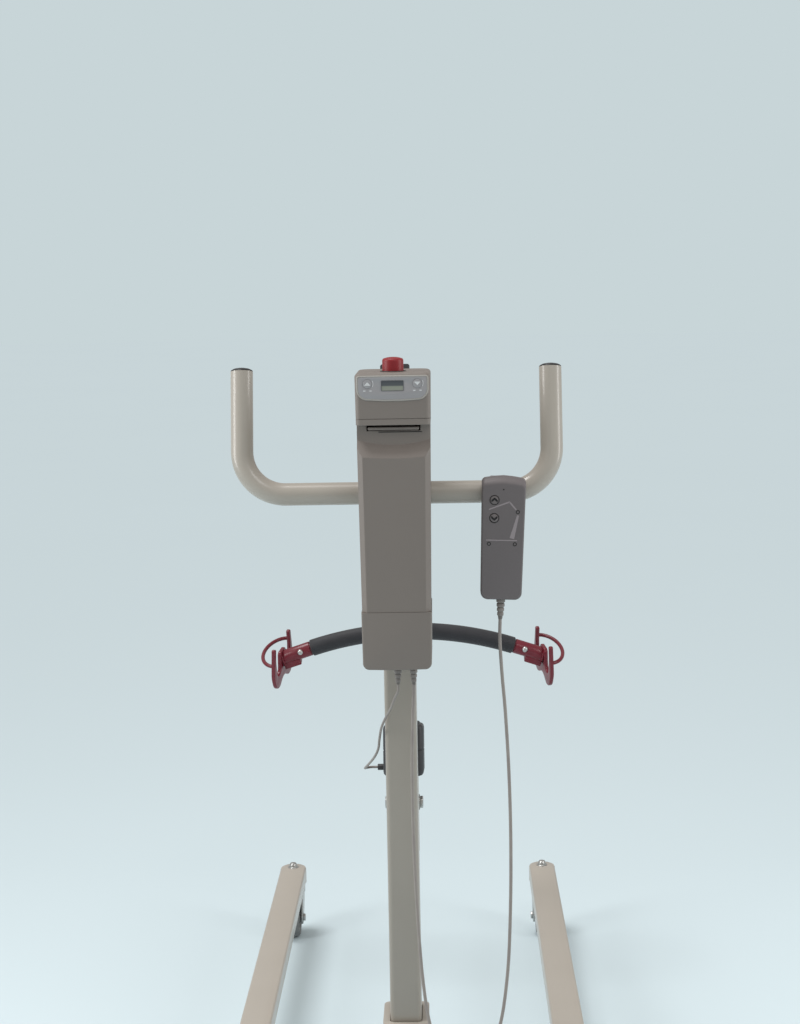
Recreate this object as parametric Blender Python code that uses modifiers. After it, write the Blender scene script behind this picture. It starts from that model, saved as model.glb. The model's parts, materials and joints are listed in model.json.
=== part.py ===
"""Electric patient lift: a wheeled base with spreading legs, a mast, a powered boom with a
spreader bar, a push handle, and a battery control box with a wired handset.

Metres, +Z up, +Y towards the patient, +X to the caregiver's right. Most pieces are laid out
from the lift axis, the vertical line through the middle of the mast at floor level.
"""
import math

import bmesh
import bpy
from mathutils import Matrix, Vector

# Overall
MAST_Y = -0.42115           # mast axis behind the middle of the footprint
GAP = 0.0003                # between pieces that touch
ARC_STEP = math.radians(30)  # facets of a rounded corner
SMALL_CORNER = 0.0205       # corners under this radius get half as many facets

# Base
BEAM_SIZE = (0.400, 0.060, 0.040)
BEAM_Z = 0.118
PLATE_TOP = 0.1375
PLATE_THICK = 0.007
LOWER_PLATE_TOP = 0.0990
LOWER_PLATE_THICK = 0.0085
SOCKET_TOP = 0.260
CASTER_X = 0.245
REAR_STEM_Y = -0.075
REAR_WHEEL = 0.050          # radius
REAR_TRAIL = 0.035
FRONT_WHEEL = 0.0375
FRONT_TRAIL = 0.025

# Legs and the pedal that spreads them
LEG_PIVOT = Vector((0.245, 0.045, 0.0))
LEG_LENGTH = 0.985          # pivot to the round tip
LEG_WIDTH = 0.050
LEG_BOTTOM = 0.100
LEG_TOP = 0.130
LEG_SPREAD = math.radians(14)
LINK_ARM = 0.080            # leg pivot to the link stud
SHAFT_Z = 0.075
CRANK = 0.035
CRANK_REST = math.asin(LINK_ARM * math.sin(LEG_SPREAD / 2) / CRANK)

# Mast, boom and actuator
MAST_SIZE = (0.0435, 0.062)
MAST_BOTTOM = 0.1383
MAST_TOP = 1.080
BOOM_PIVOT = Vector((0.0, 0.035, 1.130))
BOOM_REST = math.radians(-26)
BOOM_SIZE = (0.0395, 0.050)
BOOM_REACH = 0.920          # pivot to the hanger pin
BOOM_TAIL = 0.050
RAM_FOOT = Vector((0.0, 0.088, 0.540))
RAM_EYE = (0.200, -0.055)   # along and square to the boom
HANGER_TILT = math.radians(12)
HANGER_DROP = 0.1012        # hanger pin to the top of the spreader's centre line

# Spreader
ARCH_RADIUS = 0.575
ARCH_HALF = 0.190
SPREADER_TUBE = 0.0115
SPREADER_END = 0.243
HOOK_SPLAY = math.radians(12)
HOOK_REACH = 0.0592         # end of the arch to the middle of the end plate
HOOK_BOLT_X = 0.210
HOOK_BOLT_LEAN = 20         # degrees, the near end of the bolt upwards

# Push handle
BAR_Y = -0.0475
BAR_Z = 1.0057
BAR_RADIUS = 0.015
HANDLE_X = 0.0013
HANDLE_HALF = 0.2064
HANDLE_BEND = 0.058
HANDLE_ARM = 0.166
HANDLE_LEAN = math.radians(-13)

# Control box
BOX_FRONT = -0.1350
BOX_BACK = -0.0335
BOX_TOP = 1.1700
BOX_BOTTOM = 0.7838
BOX_TOP_HALF = 0.0484
BOX_BOTTOM_HALF = 0.0444
HEAD_BOTTOM = 1.1036
SPINE_FRONT = -0.0800
FOOT_TOP = 0.8605
BATTERY_TOP = 1.0950
SOCKETS = {"plug_actuator": -0.001, "plug_handset": 0.020}
SOCKET_Y = -0.085
PLUG_END = 0.754

# Handset
HANDSET_TOP = Vector((0.1426, -0.0775, 1.0296))
HANDSET_TURN = math.radians(2.1)
HANDSET_HEIGHT = 0.163
HANDSET_HALF = (0.0289, 0.0270)
HANDSET_KEYS = {"handset_button_up": (-0.0102, -0.0325), "handset_button_down": (-0.0110, -0.0555)}
RELIEF_END = 0.0215          # below the handset

# Cords: route points from the lift axis
LEAD_DIAMETER = 0.0035
LEAD_ROUTE = (
    (-0.0010, -0.0850, PLUG_END - GAP), (-0.0012, -0.0850, 0.7450), (-0.0056, -0.0810, 0.7353),
    (-0.0115, -0.0680, 0.7180), (-0.0192, -0.0470, 0.7000), (-0.0262, -0.0345, 0.6820),
    (-0.0300, -0.0150, 0.6610), (-0.0330, 0.0120, 0.6400), (-0.0400, 0.0400, 0.6200),
    (-0.0500, 0.0700, 0.6010), (-0.0555, 0.0920, 0.5900), (-0.0540, 0.1030, 0.5872),
    (-0.0470, 0.1078, 0.5868), (-0.0383, 0.1078, 0.5868),
)
CORD_DIAMETER = 0.0045
CORD_ROUTE = (
    (0.1358, -0.0775, 0.8449), (0.1354, -0.0775, 0.8360), (0.1348, -0.0779, 0.8120),
    (0.1360, -0.0785, 0.7850), (0.1378, -0.0790, 0.7570), (0.1413, -0.0800, 0.7100),
    (0.1450, -0.0820, 0.6300), (0.1465, -0.0840, 0.5400), (0.1450, -0.0860, 0.4400),
    (0.1400, -0.0880, 0.3500), (0.1280, -0.0900, 0.2750), (0.1060, -0.0910, 0.2320),
    (0.0800, -0.0920, 0.2200), (0.0540, -0.0920, 0.2340), (0.0350, -0.0910, 0.2780),
    (0.0250, -0.0900, 0.3500), (0.0190, -0.0890, 0.4500), (0.0160, -0.0880, 0.5500),
    (0.0158, -0.0870, 0.6400), (0.0174, -0.0855, 0.7000), (0.0196, -0.0850, 0.7430),
    (0.0200, -0.0850, PLUG_END - GAP),
)

# Finishes: sRGB colour, roughness, metallic
FINISHES = {
    "cream_paint": ((0.72, 0.70, 0.65), 0.35, 0.0),
    "red_paint": ((0.44, 0.10, 0.14), 0.30, 0.0),
    "box_plastic": ((0.46, 0.44, 0.41), 0.55, 0.0),
    "panel_film": ((0.55, 0.56, 0.57), 0.50, 0.0),
    "display_glass": ((0.20, 0.22, 0.20), 0.15, 0.0),
    "handset_plastic": ((0.38, 0.36, 0.35), 0.50, 0.0),
    "black_plastic": ((0.10, 0.10, 0.11), 0.45, 0.0),
    "black_sleeve": ((0.14, 0.14, 0.16), 0.65, 0.0),
    "stop_red": ((0.78, 0.08, 0.11), 0.35, 0.0),
    "cable_grey": ((0.52, 0.50, 0.47), 0.60, 0.0),
    "zinc_steel": ((0.70, 0.70, 0.69), 0.35, 0.9),
    "caster_tyre": ((0.35, 0.36, 0.37), 0.80, 0.0),
}


# Scene set-up

def new_collection(name):
    """A collection linked to the scene."""
    group = bpy.data.collections.new(name)
    bpy.context.scene.collection.children.link(group)
    return group


def linear(value):
    """One sRGB channel as linear light."""
    return value / 12.92 if value <= 0.04045 else ((value + 0.055) / 1.055) ** 2.4


def make_finish(name, colour, roughness, metallic):
    """A Principled material for one finish."""
    material = bpy.data.materials.new(name)
    material.use_nodes = True
    shader = material.node_tree.nodes["Principled BSDF"]
    shader.inputs["Base Color"].default_value = (*(linear(v) for v in colour), 1.0)
    shader.inputs["Roughness"].default_value = roughness
    shader.inputs["Metallic"].default_value = metallic
    return material


for leftover in list(bpy.data.objects):
    bpy.data.objects.remove(leftover, do_unlink=True)
lift_parts = new_collection("patient_lift")
cutters = new_collection("cutters")
finishes = {name: make_finish(name, *values) for name, values in FINISHES.items()}


def empty(name, place, parent=None, turn=Matrix()):
    """An axis that pieces hang on: it stands at a joint and turns with it."""
    axis = bpy.data.objects.new(name, None)
    lift_parts.objects.link(axis)
    axis.empty_display_size = 0.05
    axis.parent = parent
    axis.matrix_local = Matrix.Translation(place) @ turn
    return axis


# Shape makers: each returns a mesh

def shift(x=0.0, y=0.0, z=0.0):
    return Matrix.Translation((x, y, z))


def turn(degrees, axis):
    return Matrix.Rotation(math.radians(degrees), 4, axis)


FACE_X = turn(90, "Z") @ turn(90, "X")   # a plate's outline lies in Y and Z
FACE_Y = turn(90, "X")                   # a plate's outline lies in X and Z, facing -Y
ALONG_X = turn(90, "Y")                  # a turned shape's axis lies along X
ALONG_Y = turn(-90, "X")                 # a turned shape's axis lies along Y


def evaluated(thing):
    """The object's evaluated mesh, welded, with the object removed."""
    bpy.context.view_layer.update()
    depsgraph = bpy.context.evaluated_depsgraph_get()
    mesh = bpy.data.meshes.new_from_object(thing.evaluated_get(depsgraph))
    bpy.data.objects.remove(thing, do_unlink=True)
    work = bmesh.new()
    work.from_mesh(mesh)
    bmesh.ops.remove_doubles(work, verts=work.verts, dist=1e-6)
    bmesh.ops.recalc_face_normals(work, faces=work.faces)
    work.to_mesh(mesh)
    work.free()
    return mesh


def soften(mesh, width, segments=1, least=40):
    """Round the edges that turn by more than the least angle in degrees."""
    work = bmesh.new()
    work.from_mesh(mesh)
    bmesh.ops.dissolve_limit(work, angle_limit=math.radians(1), verts=work.verts, edges=work.edges)
    sharp = [edge for edge in work.edges if edge.calc_face_angle(0.0) > math.radians(least)]
    bmesh.ops.bevel(work, geom=sharp, offset=width, segments=segments, profile=0.5,
                    affect="EDGES", clamp_overlap=True)
    work.to_mesh(mesh)
    work.free()
    return mesh


def moved(mesh, *steps):
    """The mesh after each step in turn."""
    for step in steps:
        mesh.transform(step)
    return mesh


def box(size, centre, round_edges=0.0, segments=1):
    """A block, with rounded edges where asked."""
    work = bmesh.new()
    bmesh.ops.create_cube(work, size=1.0)
    bmesh.ops.scale(work, verts=work.verts, vec=size)
    if round_edges:
        bmesh.ops.bevel(work, geom=work.edges[:], offset=round_edges, segments=segments,
                        profile=0.5, affect="EDGES")
    mesh = bpy.data.meshes.new("block")
    work.to_mesh(mesh)
    work.free()
    return moved(mesh, Matrix.Translation(centre))


def rod(radius, start, end, sides=12):
    """A round bar between two points."""
    start, end = Vector(start), Vector(end)
    work = bmesh.new()
    bmesh.ops.create_cone(work, cap_ends=True, segments=sides, radius1=radius, radius2=radius,
                          depth=(end - start).length)
    mesh = bpy.data.meshes.new("rod")
    work.to_mesh(mesh)
    work.free()
    aim = (end - start).to_track_quat("Z", "Y").to_matrix().to_4x4()
    return moved(mesh, aim, Matrix.Translation((start + end) / 2))


def outline(corners):
    """A closed outline through (x, y, radius) corners, each rounded by an arc."""
    points = []
    for index, (x, y, radius) in enumerate(corners):
        corner = Vector((x, y))
        if radius == 0:
            points.append(corner)
            continue
        before = (Vector(corners[index - 1][:2]) - corner).normalized()
        after = (Vector(corners[(index + 1) % len(corners)][:2]) - corner).normalized()
        half = before.angle(after) / 2
        middle = corner + (before + after).normalized() * radius / math.sin(half)
        first = corner + before * radius / math.tan(half) - middle
        sweep = first.angle_signed(corner + after * radius / math.tan(half) - middle)
        facet = ARC_STEP if radius > SMALL_CORNER else 2 * ARC_STEP
        count = max(1, round(abs(sweep) / facet))
        for step in range(count + 1):
            points.append(middle + Matrix.Rotation(-sweep * step / count, 2) @ first)
    return points


def rectangle(width, height, radius, centre=(0.0, 0.0)):
    """A rectangle's outline with rounded corners."""
    x, y = width / 2, height / 2
    signs = ((-1, -1), (1, -1), (1, 1), (-1, 1))
    return outline([(centre[0] + i * x, centre[1] + j * y, radius) for i, j in signs])


def circle(radius, centre=(0.0, 0.0), sides=12):
    """A round outline."""
    angles = (2 * math.pi * step / sides for step in range(sides))
    return [Vector((centre[0] + radius * math.cos(a), centre[1] + radius * math.sin(a))) for a in angles]


def plate(outlines, thickness, round_edges=0.0):
    """A flat outline with its holes, extruded half its thickness each way."""
    curve = bpy.data.curves.new("plate", "CURVE")
    curve.dimensions = "2D"
    curve.fill_mode = "BOTH"
    curve.extrude = thickness / 2
    for points in outlines:
        spline = curve.splines.new("POLY")
        spline.points.add(len(points) - 1)
        for point, (x, y) in zip(spline.points, points):
            point.co = (x, y, 0.0, 1.0)
        spline.use_cyclic_u = True
    thing = bpy.data.objects.new("plate", curve)
    cutters.objects.link(thing)
    mesh = evaluated(thing)
    return soften(mesh, round_edges) if round_edges else mesh


def sweep(points, radius, resolution=3):
    """A round tube along a run of points, with closed ends."""
    curve = bpy.data.curves.new("sweep", "CURVE")
    curve.dimensions = "3D"
    curve.bevel_depth = radius
    curve.bevel_resolution = resolution
    curve.use_fill_caps = True
    spline = curve.splines.new("POLY")
    spline.points.add(len(points) - 1)
    for point, place in zip(spline.points, points):
        point.co = (*place, 1.0)
    thing = bpy.data.objects.new("sweep", curve)
    cutters.objects.link(thing)
    return evaluated(thing)


def turned(profile, steps=14):
    """A profile of (radius, height) points, top to bottom, turned about Z."""
    mesh = bpy.data.meshes.new("profile")
    mesh.from_pydata([(radius, 0.0, height) for radius, height in profile],
                     [(n, n + 1) for n in range(len(profile) - 1)], [])
    thing = bpy.data.objects.new("turned", mesh)
    cutters.objects.link(thing)
    screw = thing.modifiers.new("turn", "SCREW")
    screw.steps = screw.render_steps = steps
    screw.use_merge_vertices = True
    screw.merge_threshold = 1e-5
    return evaluated(thing)


def loft(sections):
    """A skin through outlines of equal count, each at its own height."""
    count = len(sections[0][1])
    points = [(x, y, height) for height, ring in sections for x, y in ring]
    faces = [tuple(reversed(range(count)))]
    for level in range(len(sections) - 1):
        low, high = level * count, (level + 1) * count
        faces += [(low + n, low + (n + 1) % count, high + (n + 1) % count, high + n) for n in range(count)]
    faces.append(tuple(range((len(sections) - 1) * count, len(sections) * count)))
    mesh = bpy.data.meshes.new("loft")
    mesh.from_pydata(points, [], faces)
    return mesh


def solid(name, mesh, finish, axis, add=(), cut=(), keep=()):
    """One piece on its axis: first bounded, then with others welded to it and cut from it."""
    mesh.name = name
    mesh.materials.clear()
    mesh.materials.append(finishes[finish])
    mesh.shade_smooth()
    mesh.set_sharp_from_angle(angle=math.radians(35))
    piece = bpy.data.objects.new(name, mesh)
    lift_parts.objects.link(piece)
    piece.parent = axis
    for operation, tools in (("INTERSECT", keep), ("UNION", add), ("DIFFERENCE", cut)):
        for number, tool_mesh in enumerate(tools):
            tool = bpy.data.objects.new(f"{name}_{operation.lower()}_{number}", tool_mesh)
            cutters.objects.link(tool)
            tool.parent = axis
            tool.hide_render = True
            tool.display_type = "WIRE"
            step = piece.modifiers.new(tool.name, "BOOLEAN")
            step.operation = operation
            step.object = tool
    return piece


def smooth_route(points, count):
    """Even points along the smooth curve through a route's own points."""
    path = [Vector(p) for p in points]
    path = [2 * path[0] - path[1]] + path + [2 * path[-1] - path[-2]]
    fine = []
    for a, b, c, d in zip(path, path[1:], path[2:], path[3:]):
        for step in range(24):
            t = step / 24
            fine.append(0.5 * (2 * b + (c - a) * t + (2 * a - 5 * b + 4 * c - d) * t ** 2
                               + (3 * b - a - 3 * c + d) * t ** 3))
    fine.append(path[-2])
    reach = [0.0]
    for a, b in zip(fine, fine[1:]):
        reach.append(reach[-1] + (b - a).length)
    even, place = [], 0
    for step in range(count):
        goal = reach[-1] * step / (count - 1)
        while place < len(reach) - 2 and reach[place + 1] < goal:
            place += 1
        part = (goal - reach[place]) / (reach[place + 1] - reach[place])
        even.append(fine[place].lerp(fine[place + 1], min(1.0, part)))
    return even, reach[-1]


# The axes that pieces stand on

lift = empty("lift_axis", (0, MAST_Y, 0))
SIDES = {"left": -1, "right": 1}
leg_axes = {
    side: empty(f"leg_axis_{side}", (sign * LEG_PIVOT.x, LEG_PIVOT.y, 0), lift)
    for side, sign in SIDES.items()
}
pedal_axis = empty("pedal_axis", (0, 0, SHAFT_Z), lift, Matrix.Rotation(-CRANK_REST, 4, "Y"))
boom_turn = Matrix.Rotation(BOOM_REST, 4, "X")
boom_axis = empty("boom_axis", BOOM_PIVOT, lift, boom_turn)
hanger_axis = empty("hanger_axis", (0, BOOM_REACH, 0), boom_axis,
                    Matrix.Rotation(HANGER_TILT - BOOM_REST, 4, "X"))
ram_eye = BOOM_PIVOT + boom_turn @ Vector((0, *RAM_EYE))
ram_lean = math.atan2(ram_eye.y - RAM_FOOT.y, ram_eye.z - RAM_FOOT.z)
RAM_REST = (ram_eye - RAM_FOOT).length
ram_axis = empty("ram_axis", RAM_FOOT, lift, Matrix.Rotation(-ram_lean, 4, "X"))
handle_axis = empty("handle_axis", (HANDLE_X, BAR_Y, BAR_Z), lift)
handset_axis = empty("handset_axis", HANDSET_TOP, lift, Matrix.Rotation(HANDSET_TURN, 4, "Y"))


# Base

def dome_nut():
    """Capped nut of a caster's stem."""
    return turned([(0, 0.0100), (0.0075, 0.0080), (0.0105, 0.0), (0, 0.0)], 8)


def base_frame():
    """Crossbeam with the mast socket, the end plates and the pedal bearings welded on."""
    beam = box(BEAM_SIZE, (0, 0, BEAM_Z), 0.005)
    socket = plate([rectangle(0.064, 0.080, 0.009), rectangle(0.0449, 0.0634, 0.0067)],
                   SOCKET_TOP - PLATE_TOP)
    welds = [moved(socket, shift(z=(SOCKET_TOP + PLATE_TOP) / 2))]
    holes = [rod(0.0055, (0, -0.060, 0.215), (0, -0.020, 0.215), 12)]
    beam_top = BEAM_Z + BEAM_SIZE[2] / 2
    for side in (-1, 1):
        web = outline([(0.030, beam_top - 0.001, 0), (0.092, beam_top - 0.001, 0),
                       (0.092, beam_top + 0.006, 0), (0.036, 0.222, 0.004), (0.030, 0.222, 0)])
        welds.append(moved(plate([[Vector((side * x, y)) for x, y in web]], 0.006), FACE_Y))
        top = outline([(side * 0.183, -0.030, 0), (side * 0.205, -0.116, 0.020),
                       (side * 0.278, -0.116, 0.020), (side * 0.278, 0.078, 0.020),
                       (side * 0.183, 0.078, 0.012)])
        stem_hole = circle(0.0063, (side * CASTER_X, LEG_PIVOT.y))
        welds.append(moved(plate([top, stem_hole], PLATE_THICK), shift(z=PLATE_TOP - PLATE_THICK / 2)))
        low = outline([(side * 0.145, 0.012, 0.006), (side * 0.278, 0.012, 0.014),
                       (side * 0.278, 0.078, 0.014), (side * 0.205, 0.078, 0.014)])
        low_hole = circle(0.0063, (side * LEG_PIVOT.x, LEG_PIVOT.y))
        low_middle = LOWER_PLATE_TOP - LOWER_PLATE_THICK / 2
        welds.append(moved(plate([low, low_hole], LOWER_PLATE_THICK), shift(z=low_middle)))
        welds.append(moved(dome_nut(), shift(side * CASTER_X, REAR_STEM_Y, PLATE_TOP - 0.0007)))
    for y in (-0.021, 0.021):
        lug = outline([(-0.024, 0.101, 0), (-0.015, 0.059, 0.0148), (0.015, 0.059, 0.0148),
                       (0.024, 0.101, 0)])
        bore = circle(0.0084, (0, SHAFT_Z))
        welds.append(moved(plate([lug, bore], 0.008), FACE_Y, shift(y=y)))
    solid("base_frame", beam, "cream_paint", lift, add=welds, cut=holes)


def mast_knob():
    """Lobed knob that clamps the mast in its socket."""
    lobes = 5
    rim = []
    points = 5 * lobes
    for step in range(points):
        angle = 2 * math.pi * step / points
        reach = 0.0225 + 0.0035 * math.cos(lobes * angle)
        rim.append(Vector((reach * math.cos(angle), reach * math.sin(angle))))
    grip = moved(plate([rim], 0.014, 0.003), FACE_Y, shift(0, -0.062, 0.215))
    hub = turned([(0, 0.016), (0.009, 0.016), (0.012, 0.0), (0, 0.0)])
    hub = moved(hub, turn(180, "X"), ALONG_Y, shift(0, -0.0405, 0.215))
    shank = rod(0.005, (0, -0.050, 0.215), (0, -0.0315, 0.215), 12)
    solid("mast_knob", grip, "black_plastic", lift, add=[hub, shank])


def leg(side, sign):
    """Box-section leg with a round caster boss on its tip and the link stud under it."""
    half = LEG_WIDTH / 2
    rear, tip = -0.028, LEG_LENGTH - half
    middle = (LEG_TOP + LEG_BOTTOM) / 2
    tube = box((LEG_WIDTH, tip - rear, LEG_TOP - LEG_BOTTOM), (0, (tip + rear) / 2, middle), 0.004)
    wall = 0.0025
    hollow = box((LEG_WIDTH - 2 * wall, 0.960, LEG_TOP - LEG_BOTTOM - 2 * wall), (0, 0.440, middle))
    bolt_hole = rod(0.0063, (0, 0, 0.090), (0, 0, 0.140))
    top, low = LEG_TOP + 0.0010, LEG_BOTTOM + 0.0005
    nut = [(0, top + 0.0100), (0.0075, top + 0.0080), (0.0105, top)]
    rim = half + 0.0003
    boss = turned([*nut, (half - 0.0040, top), (rim, top - 0.0040), (rim, low), (0, low)], 16)
    boss = moved(boss, shift(y=tip))
    swing = LEG_SPREAD / 2
    stud_x, stud_y = -sign * LINK_ARM * math.sin(swing), LINK_ARM * math.cos(swing)
    stud = turned([(0, LEG_BOTTOM + 0.001), (0.008, LEG_BOTTOM + 0.001), (0.008, 0.0815), (0.004, 0.0815),
                   (0.004, 0.0690), (0.0070, 0.0690), (0.0070, 0.0640), (0, 0.0630)], 10)
    stud = moved(stud, shift(stud_x, stud_y))
    solid(f"leg_{side}", tube, "cream_paint", leg_axes[side], add=[boss, stud],
          cut=[hollow, bolt_hole])


def leg_bolt(side):
    """Pivot bolt of a leg, with its nut."""
    shank = rod(0.006, (0, 0, 0.086), (0, 0, 0.140))
    high, low = PLATE_TOP + GAP, LOWER_PLATE_TOP - LOWER_PLATE_THICK - GAP
    head = rod(0.0105, (0, 0, high), (0, 0, high + 0.0075), 6)
    nut = rod(0.0105, (0, 0, low - 0.0055), (0, 0, low), 6)
    solid(f"leg_bolt_{side}", shank, "zinc_steel", leg_axes[side], add=[head, nut])


def leg_pedal():
    """Rocker shaft with its foot treads behind and the link crank in front."""
    shaft = rod(0.008, (0, -0.152, 0), (0, 0.116, 0))
    arm = outline([(-0.118, -0.004, 0.006), (-0.105, -0.012, 0), (0, -0.016, 0.060), (0.105, -0.012, 0),
                   (0.118, -0.004, 0.006), (0.100, 0.006, 0.004), (0, 0.014, 0.060), (-0.100, 0.006, 0.004)])
    bar = moved(plate([arm], 0.026), FACE_Y, shift(y=-0.136))
    pads = [box((0.062, 0.052, 0.013), (side * 0.088, -0.136, 0.0085), 0.003) for side in (-1, 1)]
    cheek = outline([(-0.013, CRANK + 0.013, 0.0125), (-0.017, 0, 0.010), (-0.013, -CRANK - 0.013, 0.0125),
                     (0.013, -CRANK - 0.013, 0.0125), (0.017, 0, 0.010), (0.013, CRANK + 0.013, 0.0125)])
    crank = moved(plate([cheek], 0.006), FACE_Y, shift(y=0.1135))
    collars = [rod(0.012, (0, y, 0), (0, y + 0.006, 0), 8) for y in (-0.0320, 0.0260)]
    pins = []
    for side in (-1, 1):
        pins.append(rod(0.004, (0, 0.112, side * CRANK), (0, 0.134, side * CRANK), 8))
        pins.append(rod(0.0085, (0, 0.1320, side * CRANK), (0, 0.1360, side * CRANK), 8))
    solid("leg_pedal", shaft, "cream_paint", pedal_axis, add=[bar, *pads, crank, *collars, *pins])


def link_rod(side, sign):
    """Rod from a crank pin to a leg's stud, with an eye on each end."""
    swing = LEG_SPREAD / 2
    stud = Vector((-sign * LINK_ARM * math.sin(swing), LINK_ARM * math.cos(swing), SHAFT_Z))
    pin_x = -sign * CRANK * math.sin(CRANK_REST)
    pin_z = SHAFT_Z + sign * CRANK * math.cos(CRANK_REST)
    pin = Vector((pin_x - sign * LEG_PIVOT.x, stud.y, pin_z))
    reach = (pin - stud).normalized()
    bar = rod(0.0040, stud + reach * 0.0073, pin - reach * 0.0086, 10)
    leg_eye = moved(plate([circle(0.0095), circle(0.0044)], 0.009), Matrix.Translation(stud))
    pin_eye = moved(plate([circle(0.0105), circle(0.0061)], 0.009), FACE_Y, Matrix.Translation(pin))
    solid(f"link_rod_{side}", leg_eye, "zinc_steel", leg_axes[side], add=[bar, pin_eye])


def fork(name, axis, wheel, trail, crown_top, pedal):
    """Caster fork: an arched strap cut to a swept-back cheek, with its bearing cup and axle."""
    inner, outer = 0.0162, 0.0195
    crown = wheel * 2 + 0.0045
    strap_top = crown + 0.0045
    strap = outline([(-outer, 0, 0), (-outer, strap_top, 0.010), (outer, strap_top, 0.010), (outer, 0, 0),
                     (inner, 0, 0), (inner, crown, 0.007), (-inner, crown, 0.007), (-inner, 0, 0)])
    arch = moved(plate([strap], 0.300), FACE_Y)
    ear = [(-0.058, wheel + 0.014, 0.010), (-0.091, wheel + 0.021, 0.005), (-0.089, wheel + 0.036, 0.005),
           (-0.060, wheel + 0.045, 0.010)]
    back = ear if pedal else [(-trail - 0.013, wheel + 0.004, 0.006)]
    cheek = outline([(0.024, strap_top + 0.002, 0), (0.022, crown - 0.012, 0.010),
                     (-trail + 0.014, wheel - 0.012, 0.010), (-trail - 0.012, wheel - 0.013, 0.011),
                     *back, (-0.026, strap_top + 0.002, 0)])
    profile = moved(plate([cheek], 0.060), FACE_X)
    cup = turned([(0, crown_top), (0.013, crown_top), (0.021, crown_top - 0.003),
                  (0.0225, strap_top - 0.001), (0, strap_top - 0.001)], 10)
    axle = rod(0.004, (-outer - 0.003, -trail, wheel), (outer + 0.003, -trail, wheel), 8)
    heads = [rod(0.0075, (side * (outer - 0.001), -trail, wheel),
                 (side * (outer + 0.0045), -trail, wheel), 8) for side in (-1, 1)]
    hinge = [rod(0.0029, (-0.03, -0.082, wheel + 0.028), (0.03, -0.082, wheel + 0.028), 12)] if pedal else []
    solid(name, arch, "zinc_steel", axis, add=[cup, axle, *heads], keep=[profile], cut=hinge)


def wheel_solid(name, axis, radius, trail):
    """Caster wheel: rounded tyre on a dished hub with a bore."""
    half = 0.0140
    tread = [(radius - 0.005, half), (radius, half - 0.007), (radius, -half + 0.007), (radius - 0.005, -half)]
    rim = radius * 0.66
    hub = 0.0105
    bore, dish = 0.0044, half - 0.006
    profile = [(bore, half), (hub, half), (hub + 0.002, dish), (rim - 0.002, dish), (rim, half), *tread,
               (rim, -half), (rim - 0.002, -dish), (hub + 0.002, -dish), (hub, -half), (bore, -half),
               (bore, half)]
    disc = moved(turned(profile), ALONG_X, shift(0, -trail, radius))
    solid(name, disc, "caster_tyre", axis)


def brake_pedal(side, axis):
    """Tread behind a rear wheel that turns on a pin through the fork's ears."""
    hinge_z = REAR_WHEEL + 0.028
    shape = outline([(-0.0822, hinge_z - 0.006, 0), (-0.0790, hinge_z - 0.001, 0),
                     (-0.0790, hinge_z + 0.006, 0.002), (-0.090, hinge_z + 0.008, 0),
                     (-0.112, hinge_z + 0.004, 0.003), (-0.113, hinge_z - 0.002, 0.002),
                     (-0.090, hinge_z - 0.006, 0)])
    lever = moved(plate([shape], 0.030), FACE_X)
    tread = box((0.050, 0.018, 0.0065), (0, -0.104, hinge_z + 0.0022), 0.002)
    pin = rod(0.0025, (-0.0192, -0.082, hinge_z), (0.0192, -0.082, hinge_z), 8)
    solid(f"brake_pedal_{side}", lever, "stop_red", axis, add=[tread, pin])


def casters():
    """Four casters: the rear pair stands under the base plates, the front pair under the leg tips."""
    for side, sign in SIDES.items():
        rear = empty(f"caster_axis_rear_{side}", (sign * CASTER_X, REAR_STEM_Y, 0), lift)
        fork(f"fork_rear_{side}", rear, REAR_WHEEL, REAR_TRAIL, PLATE_TOP - PLATE_THICK - GAP, True)
        wheel_solid(f"wheel_rear_{side}", rear, REAR_WHEEL, REAR_TRAIL)
        brake_pedal(side, rear)
        front = empty(f"caster_axis_front_{side}", (0, LEG_LENGTH - LEG_WIDTH / 2, 0), leg_axes[side])
        fork(f"fork_front_{side}", front, FRONT_WHEEL, FRONT_TRAIL, LEG_BOTTOM - GAP, False)
        wheel_solid(f"wheel_front_{side}", front, FRONT_WHEEL, FRONT_TRAIL)


# Mast and boom

def mast():
    """Rectangular tube, open below and closed on top."""
    tube = plate([rectangle(*MAST_SIZE, 0.006)], MAST_TOP - MAST_BOTTOM)
    tube = moved(tube, shift(z=(MAST_TOP + MAST_BOTTOM) / 2))
    wall = 0.003
    bore = plate([rectangle(MAST_SIZE[0] - 2 * wall, MAST_SIZE[1] - 2 * wall, 0.003)],
                 MAST_TOP - MAST_BOTTOM)
    bore = moved(bore, shift(z=(MAST_TOP + MAST_BOTTOM) / 2 - wall))
    solid("mast", tube, "cream_paint", lift, cut=[bore])


def boom_yoke():
    """U-shaped head on the mast whose cheeks carry the boom's pivot bolt."""
    y, z = BOOM_PIVOT.y, BOOM_PIVOT.z
    inner = MAST_SIZE[0] / 2 + GAP
    front = MAST_SIZE[1] / 2 + GAP
    thick = 0.005
    lip = front + thick - 0.0017
    shape = outline([(-0.027, 0.985, 0.006), (lip, 0.985, 0), (lip, 1.068, 0.012),
                     (y + 0.028, 1.100, 0.010), (y + 0.028, z + 0.028, 0.0278),
                     (y - 0.028, z + 0.028, 0.0278), (y - 0.028, 1.098, 0.010), (-0.027, 1.068, 0.012)])
    hole = circle(0.0073, (y, z))
    cheeks = [moved(plate([shape, hole], thick), FACE_X, shift(side * (inner + thick / 2)))
              for side in (-1, 1)]
    web = box((2 * inner + thick, thick, 0.072), (0, front + thick / 2, 1.022), 0.001)
    bolts = [rod(0.006, (side * (inner + 0.004), -0.012, h), (side * (inner + 0.0085), -0.012, h), 6)
             for side in (-1, 1) for h in (1.005, 1.045)]
    solid("boom_yoke", web, "cream_paint", lift, add=[*cheeks, *bolts])


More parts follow.
